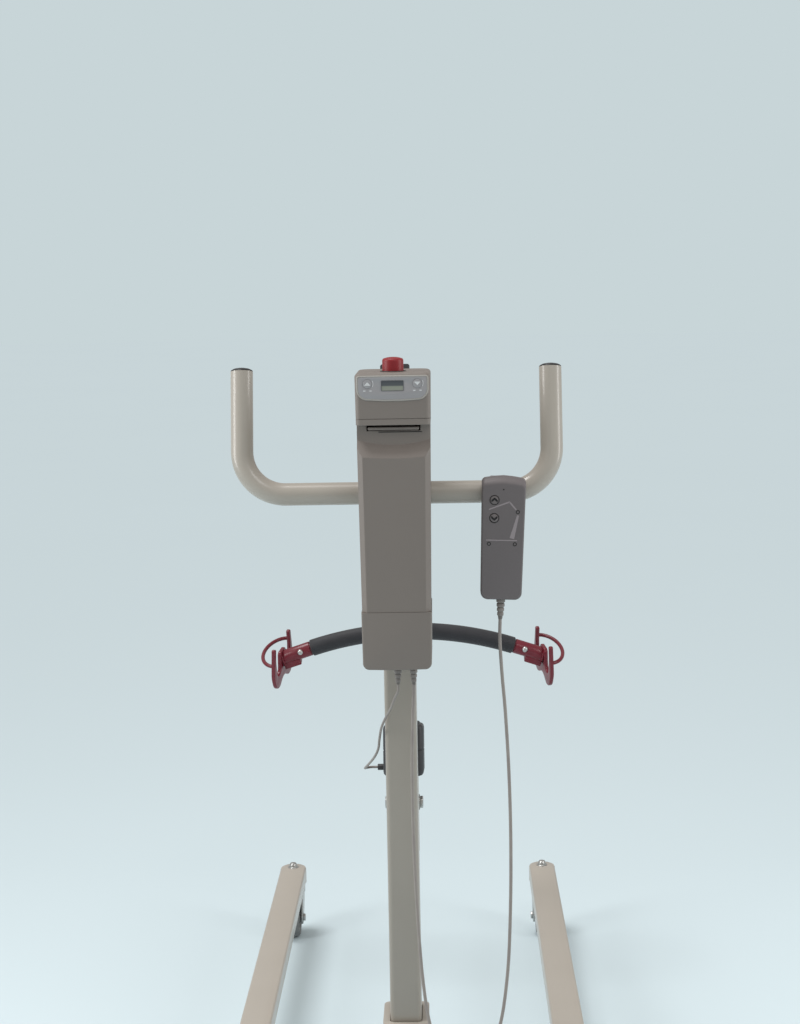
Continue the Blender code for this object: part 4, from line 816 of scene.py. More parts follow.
def cords():
    """The actuator's lead and the handset's cord, each a round jacket along its route."""
    path = [LIFT @ p for p in smooth_route(LEAD_ROUTE, 90)]
    mesh = tube(path, LEAD_DIAMETER / 2, JACKET, 16)
    lead = dress("lead_jacket", mesh, JACKET, "frame", Matrix(), ["actuator_lead"], 60)
    path = [LIFT @ p for p in smooth_route(CORD_ROUTE, 260)]
    mesh = tube(path, CORD_DIAMETER / 2, JACKET, 16)
    cord = dress("handset_cord_jacket", mesh, JACKET, None, Matrix(), ["handset_cord"], 60)
    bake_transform(cord)


def relief_rib(radius, thickness):
    """One ring of a strain relief, standing on Z with rounded edges."""
    return lathe(ring_profile([(radius * 0.55, thickness / 2), (radius, thickness / 2)]), thickness * 0.3, 32)


def cable_plugs():
    """Cable plugs with tapered strain reliefs under the box."""
    for name, x in SOCKETS.items():
        core = lathe([(0, 0.0400), (0.0046, 0.0400), (0.0048, 0.0262), (0.0042, 0.0240), (0.0028, 0.0060),
                      (0.0024, 0.0040), (0.0023, 0.0), (0, 0.0)], 0.0006)
        ribs = grown(moved(relief_rib(0.0058, 0.0044), shift(z=0.0240)), STACK_TREE, RELIEF_GREY,
                     count=4, pitch=0.0061, taper=0.13)
        place = LIFT @ shift(x, SOCKET_Y, PLUG_END)
        # The core, with the plug body above the rings, is painted darker, as shade in the gaps between the
        # rings
        dress(f"plug_{name}_core", core, RELIEF_CORE_SHADE, "frame", place, [f"plug_{name}"])
        dress(f"plug_{name}_rings", ribs, RELIEF_GREY, "frame", place)


# Handle

def handle():
    """Bent push tube with its saddle on the mast, and a domed plug in each arm."""
    half = [Vector((x, 0, 0)) for x in (0, 0.05, 0.10, HANDLE_HALF - HANDLE_BEND)]
    for angle in quarter(24):
        half.append(Vector((HANDLE_HALF - HANDLE_BEND * (1 - math.sin(angle)), 0,
                            HANDLE_BEND * (1 - math.cos(angle)))))
    half.append(Vector((HANDLE_HALF, 0, HANDLE_ARM)))
    whole = [Vector((-p.x, p.y, p.z)) for p in reversed(half[1:])] + half[1:]
    bores = [rod(0.0128, (x, 0, HANDLE_ARM - 0.022), (x, 0, HANDLE_ARM + 0.01))
             for x in (-HANDLE_HALF, HANDLE_HALF)]
    bar = built(tube(whole, BAR_RADIUS, CREAM, 64), cut=bores)
    dress("push_tube", bar, CREAM, "frame", HANDLE, ["push_handle"])
    saddle_y = mast_low.y - MAST_Y - GAP - 0.004
    saddle = box((2 * mast_high.x, 0.008, 0.060), (0, saddle_y, BAR_Z), 0.0018)
    dress("handle_saddle", saddle, CREAM, "frame")
    for side, sign in SIDES.items():
        plug = lathe([(0, 0.0050), (0.0060, 0.0047), (0.0110, 0.0036), (0.0142, 0.0018), (0.0151, GAP),
                      (0.0120, GAP), (0.0116, -0.018), (0, -0.018)], 0.0006, 64)
        dress(f"arm_plug_{side}", plug, BLACK, "frame", HANDLE @ shift(sign * HANDLE_HALF, 0, HANDLE_ARM),
              [f"handle_plug_{side}"])


# Control box

def box_half(z):
    """Half width of the tapered box at a height."""
    share = (z - BOX_BOTTOM) / (BOX_TOP - BOX_BOTTOM)
    return BOX_BOTTOM_HALF + share * (BOX_TOP_HALF - BOX_BOTTOM_HALF)


def plan(z, front, back, front_corner, back_corner, inset=0.0):
    """Plan outline of the box at a height."""
    half = box_half(z) - inset
    ring = outline([(-half, front + inset, front_corner), (half, front + inset, front_corner),
                    (half, back - inset, back_corner), (-half, back - inset, back_corner)])
    return [Vector((x, y, z)) for x, y in ring]


def head_shell():
    """Head of the box, its top edge rounded and its seam a fine groove, with the spine below."""
    corner, edge = 0.0062, 0.0050
    levels = [(HEAD_BOTTOM, 0.0006), (HEAD_BOTTOM + 0.0006, 0.0), (1.1112, 0.0), (1.1114, 0.0009),
              (1.1120, 0.0009), (1.1122, 0.0), (BOX_TOP - edge, 0.0)]
    for angle in quarter(7):
        levels.append((BOX_TOP - edge * (1 - math.sin(angle)), edge * (1 - math.cos(angle))))
    shell = loft([plan(z, BOX_FRONT, BOX_BACK, corner - inset * 0.4, 0.014 - inset * 0.4, inset)
                  for z, inset in levels])
    spine = loft([plan(z, SPINE_FRONT, BOX_BACK + 0.0004, 0.002, 0.012, 0.0004)
                  for z in (FOOT_TOP + GAP, HEAD_BOTTOM + 0.005)])
    pad = box((0.034, 0.010, 0.080), (0, -0.0363, 0.920), 0.001)
    room = BAR_RADIUS + 0.0009
    cuts = [rod(room, (-0.080, BAR_Y, BAR_Z), (0.080, BAR_Y, BAR_Z), 48),
            box((0.160, 0.040, 2 * room), (0, BAR_Y + 0.020, BAR_Z)),
            box((0.048, 0.020, 0.063), (0, -0.0300, BAR_Z)),
            rod(0.0148, (0, STOP_Y, BOX_TOP - 0.0045), (0, STOP_Y, BOX_TOP + 0.01), 64),
            moved(plate([rectangle(0.0650, 0.0390, 0.0015)], 0.0030), shift(0, -0.1075, HEAD_BOTTOM))]
    dress("box_head", built(shell, add=[spine, pad], cut=cuts), BOX, "frame", LIFT, ["controller_housing"])
    # Painted shade: a dark sheet inside the lever's slot under the head
    slot_shade = box((0.0640, 0.0300, 0.0012), (0, -0.1045, HEAD_BOTTOM + 0.0008))
    dress("lever_slot_painted_shade", slot_shade, SHADE_AND_DARK_PRINT, "frame")


def panel_outline(grow=0.0):
    """Outline of the film panel: flat top, large lower corners, bulging bottom."""
    half, top, low = 0.0438 + grow, 1.1650 + grow, 1.1385 - grow
    return outline(both_halves([(-half, top, 0.0025), (-half, low, 0.0120 + grow), (0, low - 0.0026, 0.200)]))


def panel():
    """Film panel in its rim, the rim painted lighter than the box as a highlight, with the display, two keys
    and their marks.
    """
    face = BOX_FRONT - GAP
    centre = (0, DISPLAY_Z)
    window = rectangle(0.0284, 0.0131, 0.0010, centre)
    wells = [circle(0.0061, (side * PANEL_KEY_X, PANEL_KEY_Z)) for side in (-1, 1)]
    film = plate([panel_outline(), window, *wells], 0.0012, 0.00025, 2)
    dress("panel_film", moved(film, FACE_Y, shift(y=face - 0.0006)), FILM, "frame", LIFT, ["control_panel"])
    # The rim is a real lip; its lighter colour is a painted highlight
    rim = [Vector((x, BOX_FRONT - 0.0003, z)) for x, z in panel_outline(0.0009)]
    dress("panel_rim_painted_highlight", tube(rim, 0.0013, RIM_PAINTED_HIGHLIGHT, 20, closed=True), RIM_PAINTED_HIGHLIGHT, "frame", LIFT, sharp=60)
    lens = plate([rectangle(0.0278, 0.0125, 0.0008, centre)], 0.0010, 0.00015, 1)
    dress("display_glass", moved(lens, FACE_Y, shift(y=face - 0.0005)), LCD, "frame", LIFT, ["display_lens"])
    border = plate([rectangle(0.0290, 0.0137, 0.0012, centre), rectangle(0.0276, 0.0123, 0.0008, centre)],
                   0.0003)
    dress("display_border", moved(border, FACE_Y, shift(y=face - 0.0013)), BORDER_INK, "frame")
    for name, x, way in (("up", -PANEL_KEY_X, 1), ("down", PANEL_KEY_X, -1)):
        key = lathe([(0, 0.0018), (0.0040, 0.0017), (0.0058, 0.0012), (0.0060, 0.0006), (0, 0.0006)], 0.0004)
        dress(f"film_key_{name}", moved(key, FACE_Y, shift(x, face, PANEL_KEY_Z)), FILM, f"panel_{name}",
              LIFT, [f"panel_button_{name}"])
        arrow = outline([(-0.0042, -0.0022 * way, 0.0004), (0.0042, -0.0022 * way, 0.0004),
                         (0.0, 0.0024 * way, 0.0004)][::way])
        mark = moved(plate([arrow], 0.0002), FACE_Y, shift(x, face - 0.00185, PANEL_KEY_Z + 0.0002))
        dress(f"film_key_arrow_{name}", mark, WHITE_INK, f"panel_{name}")
        arc = [Vector((0.0078 * math.cos(a), 0.0078 * math.sin(a))) for a in
               (math.radians(-30 + 60 * s / 10) for s in range(11))]
        inner = [p * 0.90 for p in reversed(arc)]
        printed = face - 0.00125
        lines = [moved(plate([arc + inner], 0.0002), FACE_Y, shift(x, printed, PANEL_KEY_Z + 0.0002))]
        for off in (-0.0040, 0.0040):
            dash = plate([rectangle(0.0030, 0.0014, 0.0004)], 0.0002)
            lines.append(moved(dash, FACE_Y, shift(x + off, printed, PANEL_KEY_Z - 0.0087)))
        dress(f"film_marks_{name}", joined(lines), WHITE_INK, "frame")


def latch_rod(radius, reach, sides):
    """A round bar on the hinge line of the battery's release lever."""
    return rod(radius, (-reach, LATCH_Y, LATCH_Z), (reach, LATCH_Y, LATCH_Z), sides)


def battery_pack():
    """Battery pack: chamfered front that ends in a curved finger scoop under the lever."""
    low, high = FOOT_TOP + GAP, BATTERY_TOP
    wall_depth, chamfer_width, columns = 0.0150, 0.0068, 72
    scoop_low, scoop_high = 1.055, 1.084

    def depth(share, z, half):
        """How far the face stands back from the front plane."""
        side = max(0.0, (abs(share) * half - (half - chamfer_width)) / chamfer_width)
        chamfer = chamfer_width * side ** 1.15
        arch = 1.0 - share * share
        start, end = 1.0635 - 0.0026 * arch, scoop_high - 0.0070 * arch
        rise = min(1.0, max(0.0, (z - start) / (end - start)))
        scoop = wall_depth * rise ** 1.15
        return max(chamfer, scoop)

    levels = [low, low + 0.0004] + [low + (scoop_low - low) * step / 6 for step in range(1, 7)]
    levels += [scoop_low + (scoop_high - scoop_low) * step / 58 for step in range(1, 59)] + [1.090, high]
    rings, back = [], SPINE_FRONT - GAP
    for z in levels:
        half = box_half(z) - 0.0004
        front = []
        for step in range(columns + 1):
            share = 2 * step / columns - 1
            share = math.copysign(abs(share) ** 0.85, share)
            front.append(Vector((share * half, BOX_FRONT + depth(share, z, half), z)))
        rings.append([*front, Vector((half, back, z)), Vector((-half, back, z))])
    wall_y = BOX_FRONT + wall_depth
    shoulders = []
    for side in (-1, 1):
        inner, outer = side * 0.0345, side * (box_half(high) - 0.0004)
        shoulders.append(box((abs(outer - inner), back - wall_y, 0.0088),
                             ((inner + outer) / 2, (wall_y + back) / 2, high + 0.0036), 0.0006, 2))
    pack = built(loft(rings), add=shoulders, cut=[latch_rod(0.0017, 0.060, 16)])
    dress("battery_case", pack, BOX, "battery", LIFT, ["battery"], 22)
    lever = box((0.0655, 0.0340, 0.0036), (0, -0.1085, 1.0985), 0.0009)
    hinge = [latch_rod(0.0022, 0.0335, 24), latch_rod(0.0014, 0.0395, 16)]
    dress("release_lever", built(lever, add=hinge), BOX, "latch", LIFT, ["battery_latch"])
    gasket = box((0.0640, 0.0240, 0.0010), (0, -0.1065, high + 0.0003))
    dress("lever_recess_lining", gasket, BOX, "battery")
    # Painted shade: a thin dark strip on the recess wall under the lever, for the shade of a groove there
    groove = box((0.0560, 0.0012, 0.0012), (0.0085, wall_y, high - 0.0014), 0.0003, 1)
    dress("lever_groove_painted_shade", groove, SHADE_AND_DARK_PRINT, "battery")


def foot():
    """Foot of the box: rounded lower corners, a slightly bowed bottom edge and two sockets."""
    face = outline(both_halves([(-box_half(FOOT_TOP) - 0.0005, FOOT_TOP + 0.010, 0),
                                (-box_half(BOX_BOTTOM) - 0.0003, BOX_BOTTOM + 0.0012, 0.0085),
                                (0, BOX_BOTTOM, 0.300)]))
    deep = BOX_BACK - BOX_FRONT + 0.0008
    block = moved(plate([face], deep, 0.0022, 4), FACE_Y, shift(y=(BOX_BACK + BOX_FRONT) / 2 - 0.0004))
    sockets = [rod(0.0053, (x, SOCKET_Y, BOX_BOTTOM - 0.01), (x, SOCKET_Y, BOX_BOTTOM + 0.012))
               for x in SOCKETS.values()]
    over = box((0.120, 0.140, 0.020), (0, -0.085, FOOT_TOP + 0.010))
    dress("box_foot", built(block, cut=[over, *sockets]), BOX, "frame", LIFT, ["connector_foot"])


def stop_head():
    """Red mushroom stop button: flat dome, rounded shoulder, straight skirt."""
    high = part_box("stop_button")[1].z
    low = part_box("stop_button")[0].z
    profile = [(0, high), (0.0050, high - 0.0002), (0.0085, high - 0.0008)]
    for angle in [0.0, *quarter(8)]:
        profile.append((0.01025 + 0.0035 * math.sin(angle), high - 0.0014 - 0.0035 * (1 - math.cos(angle))))
    profile += [(0.01375, low), (0, low)]
    dress("stop_head", moved(turned(profile, 72), shift(y=STOP_Y)), STOP, "stop", LIFT, ["stop_button"], 50)
    # Painted shadow: a thin dark ring on the box top round the button's base, for the shadow the button casts
    # there
    base_shadow_ring = lathe([(0.0141, BOX_TOP + 0.0009), (0.0165, BOX_TOP + 0.0007), (0.0170, BOX_TOP - 0.0003),
                    (0.0141, BOX_TOP - 0.0003), (0.0141, BOX_TOP + 0.0009)], 0.0004, 64)
    dress("stop_base_painted_shadow", moved(base_shadow_ring, shift(y=STOP_Y)), SHADE_AND_DARK_PRINT, "frame")


# Handset

def handset_ring(inset, crown, y):
    """Outline of the handset at a depth: inset all round, and lower by the crown at the top."""
    top_half, low_half = HANDSET_HALF
    low, top = -HANDSET_HEIGHT + inset, -inset - crown
    ring = outline([(-low_half + inset, low, 0.0095), (low_half - inset, low, 0.0095),
                    (top_half - inset, -0.0035 + top, 0.0060), (0, 0.0010 + top, 0.075),
                    (-top_half + inset, -0.0035 + top, 0.0060)])
    return [Vector((x, y, z)) for x, z in ring]


def handset():
    """Two-shell handset with its hook over the bar, keys, printed sign and cord relief."""
    face = -0.0125
    cuts = [rod(0.0063, (x, -0.020, z), (x, -0.0085, z), 48) for x, z in HANDSET_KEYS.values()]
    pocket = rod(0.0052, (0, 0, -HANDSET_HEIGHT - 0.010), (0, 0, -HANDSET_HEIGHT + 0.0125))
    rings = [handset_ring(0.0012, 0.0, -0.0003), handset_ring(0.0, 0.0, -0.0012),
             handset_ring(0.0, 0.0, -0.0030)]
    rings += [handset_ring(0.0, 0.0016 * step, -0.0030 - 0.0024 * step) for step in (1, 2)]
    for angle in quarter(8):
        rings.append(handset_ring(0.0022 * (1 - math.cos(angle)), 0.0032 + 0.0046 * angle / (math.pi / 2),
                                  -0.0078 + (face + 0.0078) * math.sin(angle)))
    front = built(loft(rings), cut=[*cuts, pocket])
    dress("handset_face", front, HANDSET_ABS, "handset", HANDSET, ["handset_front"], 40)
    rings = [handset_ring(0.0012, 0.0, 0.0003), handset_ring(0.0, 0.0, 0.0012),
             handset_ring(0.0, 0.0, 0.0090)]
    for angle in quarter(6):
        rings.append(handset_ring(0.0026 * (1 - math.cos(angle)), 0.0, 0.0090 + 0.0035 * math.sin(angle)))
    back = loft(rings)
    bar = Vector((0, MAST_Y + BAR_Y, BAR_Z)) - HANDSET.translation
    hook_line = []
    for radius, steps in ((0.0205, range(0, 33)), (0.0163, range(32, -1, -1))):
        for step in steps:
            angle = math.radians(-25 + 205 * step / 32)
            hook_line.append(Vector((bar.y + radius * math.cos(angle), bar.z + radius * math.sin(angle))))
    hook_band = moved(plate([hook_line], 0.024, 0.0008, 2), FACE_X, shift(-0.005))
    dress("handset_hook_shell", built(back, add=[hook_band], cut=[pocket]), HANDSET_ABS, "handset", HANDSET,
          ["handset_back"], 40)
    handset_keys(face)
    pictogram(face - 0.0001)
    relief = lathe([(0, 0.0120), (0.0044, 0.0120), (0.0048, 0.0010), (0.0046, 0.0), (0.0040, -0.0150),
                    (0.0031, -0.0240), (0.0026, -RELIEF_LENGTH), (0, -RELIEF_LENGTH)], 0.0005)
    ribs = grown(moved(relief_rib(0.0059, 0.0047), shift(z=-0.0026)), STACK_TREE, RELIEF_GREY,
                 count=4, pitch=0.0060, taper=0.09)
    place = HANDSET @ shift(0, 0, -HANDSET_HEIGHT)
    # The core is painted darker than the rings, as shade in the gaps between them
    dress("cord_relief_core", relief, RELIEF_CORE_SHADE, "handset", place, ["handset_relief"])
    dress("cord_relief_rings", ribs, RELIEF_GREY, "handset", place)


def handset_keys(face):
    """Two round keys, each ringed by painted shade in its gap, with chevrons."""
    seat = -0.0097
    for name, (x, z) in HANDSET_KEYS.items():
        key = lathe([(0, 0.0036), (0.0040, 0.0034), (0.0055, 0.0028), (0.0057, 0.0), (0, 0.0)], 0.0004)
        body = f"handset_{name}"
        dress(f"handset_key_{name}", moved(key, FACE_Y, shift(x, seat, z)), KEY_ABS, body, HANDSET,
              [f"handset_button_{name}"])
        way = 1 if name == "up" else -1
        arm, tip, wing, thick = 0.0041, 0.0031, -0.0003, 0.0031
        chevron = [Vector((across, up * way)) for across, up in
                   ((-arm, wing), (0, tip), (arm, wing), (arm, wing - thick), (0, tip - thick),
                    (-arm, wing - thick))]
        mark = moved(plate([chevron], 0.0004), FACE_Y, shift(x, seat - 0.0037, z + 0.0004 * way))
        dress(f"handset_chevron_{name}", mark, BLACK_INK, body, HANDSET)
        # Painted shade: a dark ring on the face round each key, for the shade in the gap round it
        gap_shade = lathe([(0.0059, 0.0003), (0.0066, 0.0003), (0.0066, -0.0002), (0.0059, -0.0002),
                      (0.0059, 0.0003)], 0.0001)
        dress(f"handset_key_shade_ring_{name}", moved(gap_shade, FACE_Y, shift(x, face, z)), SHADE_AND_DARK_PRINT, "handset", HANDSET)


def stroke(start, end, width_start, width_end):
    """A flat line with its own width at each end."""
    a, b = Vector(start), Vector(end)
    side = (b - a).orthogonal().normalized() / 2
    return [a + side * width_start, a - side * width_start, b - side * width_end, b + side * width_end]


def pictogram(face):
    """Printed lift sign: boom, pivot, mast, base line and two wheels."""
    pale = [stroke((-0.0191, -0.0430), (0.0081, -0.0324), 0.0015, 0.0020),
            stroke((0.0076, -0.0326), (0.0167, -0.0428), 0.0022, 0.0018),
            stroke((0.0192, -0.0499), (0.0119, -0.0808), 0.0026, 0.0062),
            stroke((-0.0217, -0.0834), (0.0187, -0.0834), 0.0014, 0.0014)]
    lines = [moved(plate([points], 0.0002), FACE_Y, shift(y=face)) for points in pale]
    dress("pictogram_lines", joined(lines), PALE_INK, "handset", HANDSET)
    rings = [plate([circle(0.0027, centre), circle(0.0015, centre)], 0.0002)
             for centre in ((-0.0179, -0.0884), (0.0160, -0.0883), (0.0188, -0.0457))]
    rings.append(plate([circle(0.0011, (-0.0004, -0.0165), 20)], 0.0002))
    dark = [moved(mesh, FACE_Y, shift(y=face)) for mesh in rings]
    dress("pictogram_dots", joined(dark), SHADE_AND_DARK_PRINT, "handset", HANDSET)


# Spreader

def arch_points(half, count, end=None):
    """Centre line of the spreader in X and Z, its crown at the drop, with straight ends."""
    widest = math.asin(half / ARCH_RADIUS)
    points = []
    for step in range(count + 1):
        angle = widest * (2 * step / count - 1)
        points.append(Vector((ARCH_RADIUS * math.sin(angle), 0,
                              ARCH_RADIUS * (math.cos(angle) - 1) - ARCH_DROP)))
    if end:
        low = points[0].z - (end - half) * math.tan(widest)
        points = [Vector((-end, 0, low)), *points, Vector((end, 0, low))]
    return points


def hook_bolt_place(sign):
    """Where a hook's bolt crosses the bar, leaning so that its near end points up."""
    height = ARCH_END.z - (HOOK_BOLT_X - ARCH_HALF) * math.tan(ARCH_SLOPE)
    return shift(sign * HOOK_BOLT_X, 0, height) @ turn(-HOOK_BOLT_LEAN, "X")


def spreader():
    """Arched bar with its swivel boss, and the foam sleeve over it."""
    bar = tube(arch_points(ARCH_HALF, 40, SPREADER_END - 0.006), SPREADER_TUBE, RED, 32)
    boss = lathe([(0, -0.0703), (0.0185, -0.0703), (0.0200, -0.074), (0.0200, -0.084), (0.0150, -0.098),
                  (0, -0.098)], 0.0015, 64)
    pin = rod(0.0060, (0, 0, -0.085), (0, 0, -0.0585))
    dress("spreader_bar", built(bar, add=[boss, pin]), RED, "spreader", HANGER, ["spreader_tube"])
    sleeve = soften(tube(arch_points(ARCH_HALF - 0.0015, 48), 0.0156, SLEEVE, 48), 0.0014, 3, 50)
    bore = tube(arch_points(ARCH_HALF + 0.010, 50), SPREADER_TUBE + 0.0004, SLEEVE, 32)
    window = rod(0.0215, (0, 0, -0.0995), (0, 0, -0.060), 64)
    dress("spreader_sleeve", built(sleeve, cut=[bore, window]), SLEEVE, "spreader", HANGER,
          ["spreader_cover"])


def hook(side, sign):
    """Red end fitting: socket sleeve, gusset, twin-horned plate, rod loop and weld bead."""
    down = Vector((math.cos(ARCH_SLOPE), 0, -math.sin(ARCH_SLOPE)))
    start, centre = ARCH_END + down * 0.0005, ARCH_END + down * HOOK_REACH
    socket = rod(0.0135, start, centre, 48, 0.0008)
    bore = rod(SPREADER_TUBE + 0.0004, start - down * 0.01, start + down * 0.050)
    rib_end = HOOK_REACH - 0.0005
    rib = outline([(0.0265, -0.0210, 0.002), (rib_end, -0.0210, 0), (rib_end, -0.008, 0),
                   (0.0265, -0.0095, 0)])
    lean = Matrix.Rotation(ARCH_SLOPE, 4, "Y")
    gusset = moved(plate([rib], 0.020, 0.0012), FACE_Y, lean, Matrix.Translation(ARCH_END))
    horns = outline(both_halves([
        (-0.016, 0.018, 0.008), (-0.019, -0.020, 0.012), (-0.041, -0.021, 0.009), (-0.0455, 0.012, 0.030),
        (-0.0425, 0.036, 0.003), (-0.0515, 0.039, 0.004), (-0.0605, -0.016, 0.030), (-0.044, -0.055, 0.022),
        (0, -0.030, 0.030)]))
    blade = plate([horns], 0.007, 0.0018, 3)
    loop = [Vector((0.001 + 0.032 * math.sin(a), -0.0525 * math.cos(a), 0.012 - 0.006 * math.cos(a)))
            for a in (math.pi * step / 40 for step in range(41))]
    bead = [Vector((0, y, z)) for y, z in circle(0.0138)]
    bead_place = Matrix.Translation(centre - down * 0.0035) @ lean
    splay = Matrix.Rotation(HOOK_SPLAY, 4, "Z")
    blade = moved(blade, FACE_X, splay, Matrix.Translation(centre))
    loop_bar = moved(tube(loop, 0.0035, RED, 20), splay, Matrix.Translation(centre))
    weld = moved(tube(bead, 0.0016, RED, 12, closed=True), bead_place)
    pieces = [socket, gusset, blade, loop_bar, weld, bore]
    if sign < 0:
        for mesh in pieces:
            mesh.transform(Matrix.Scale(-1, 4, (1, 0, 0)))
            cleaned(mesh)
    made = joined([built(socket, cut=[bore]), blade, gusset, loop_bar, weld])
    dress(f"hook_fitting_{side}", made, RED, "spreader", HANGER, [f"hook_{side}"])
    dome = rounded([(0, 0.0050), (0.0030, 0.0045), (0.0050, 0.0026), (0.0056, 0.0), (0, 0.0)], 0.0012)
    ends = [moved(turned(dome, 40), turn(lie, "X"), shift(y=math.copysign(0.0135, -lie)),
                  hook_bolt_place(sign)) for lie in (90, -90)]
    dress(f"hook_rivet_{side}", joined(ends), ZINC, "spreader", HANGER, [f"spreader_bolt_{side}"])


# Mast and boom

def cross_bolt(name, node, radius, reach, head_radius, head, body, place):
    """A bolt along X with a hexagon head and washer on each end, their inner faces at the reach."""
    parts = [rod(radius, (-reach - 0.001, 0, 0), (reach + 0.001, 0, 0))]
    for side in (-1, 1):
        parts += side_head(side, reach, 0, 0, head_radius, head - 0.0012, 0.0012)
    dress(name, joined(parts), ZINC, body, place, [node])


def mast():
    """Rectangular mast tube with the boom's yoke clamped on its head."""
    width, depth, height = mast_high - mast_low
    upright = plate([rectangle(width, depth, 0.0065)], height, 0.0008)
    upright = moved(upright, shift(z=(mast_low.z + mast_high.z) / 2))
    dress("mast_tube", upright, MAST_CREAM_PAINTED_SHADE, "frame", LIFT, ["mast"])
    y, z = BOOM_PIVOT.y, BOOM_PIVOT.z
    inner, front, thick = mast_high.x + GAP, mast_high.y - MAST_Y + GAP, 0.005
    lip = front + thick - 0.0017
    shape = outline([(-0.027, 0.985, 0.006), (lip, 0.985, 0), (lip, 1.068, 0.012),
                     (y + 0.028, 1.100, 0.010), (y + 0.028, z + 0.028, 0.0278),
                     (y - 0.028, z + 0.028, 0.0278), (y - 0.028, 1.098, 0.010), (-0.027, 1.068, 0.012)])
    cheeks = twin_plates([shape, circle(0.0073, (y, z))], thick, 0.0009, inner + thick / 2)
    web = box((2 * inner + thick, thick, 0.072), (0, front + thick / 2, 1.022), 0.001)
    dress("yoke_plates", built(web, add=cheeks), CREAM, "frame", LIFT, ["boom_yoke"])
    heads = [mesh for side in (-1, 1) for height in (1.005, 1.045)
             for mesh in side_head(side, inner + thick, -0.012, height, 0.006, 0.0030, 0.0006)]
    dress("yoke_bolts", joined(heads), ZINC, "frame")
    cross_bolt("boom_pivot_bolt", "boom_bolt", 0.007, inner + thick + GAP, 0.0125, 0.008, "frame",
               LIFT @ Matrix.Translation(BOOM_PIVOT))


def boom():
    """Box-section boom with the hanger lug, the channel that the ram works in and its end plug."""
    width, height = 0.0395, 0.050
    rear, front = -0.047, BOOM_REACH - 0.045
    bar = plate([rectangle(width, height, 0.006)], front - rear, 0.0008)
    bar = moved(bar, ALONG_Y, shift(y=(front + rear) / 2))
    lug = outline([(front - 0.0015, -0.022, 0), (front - 0.0015, 0.022, 0),
                   (BOOM_REACH + 0.018, 0.018, 0.0178), (BOOM_REACH + 0.018, -0.018, 0.0178)])
    welds = [moved(plate([lug, circle(BOLT_HOLE, (BOOM_REACH, 0))], 0.012, 0.0008), FACE_X)]
    along, square = RAM_EYE
    skirt = outline([(along - 0.085, 0.012, 0.006), (along - 0.050, -0.088, 0.014),
                     (along + 0.050, -0.088, 0.014), (along + 0.085, 0.012, 0.006)])
    outside = width / 2
    welds += twin_plates([skirt], 0.005, 0.0009, outside + 0.00225)
    stubs = []
    for side in (-1, 1):
        stubs.append(rod(0.010, (side * (outside + 0.001), along, square), (side * 0.0135, along, square)))
        stubs += side_head(side, outside + 0.0047, along, square, 0.0105, 0.0060, 0.0010)
    bore = rod(0.0073, (-0.030, 0, 0), (0.030, 0, 0))
    dress("boom_beam", built(bar, add=welds, cut=[bore]), CREAM, "boom", BOOM, ["boom"])
    dress("boom_stub_bolts", joined(stubs), ZINC, "boom", BOOM)
    face = plate([rectangle(width, height, 0.0034)], 0.0027, 0.0010)
    dress("boom_end_plug", moved(face, ALONG_Y, shift(y=-0.04865)), BLACK, "boom", BOOM, ["boom_cap"])


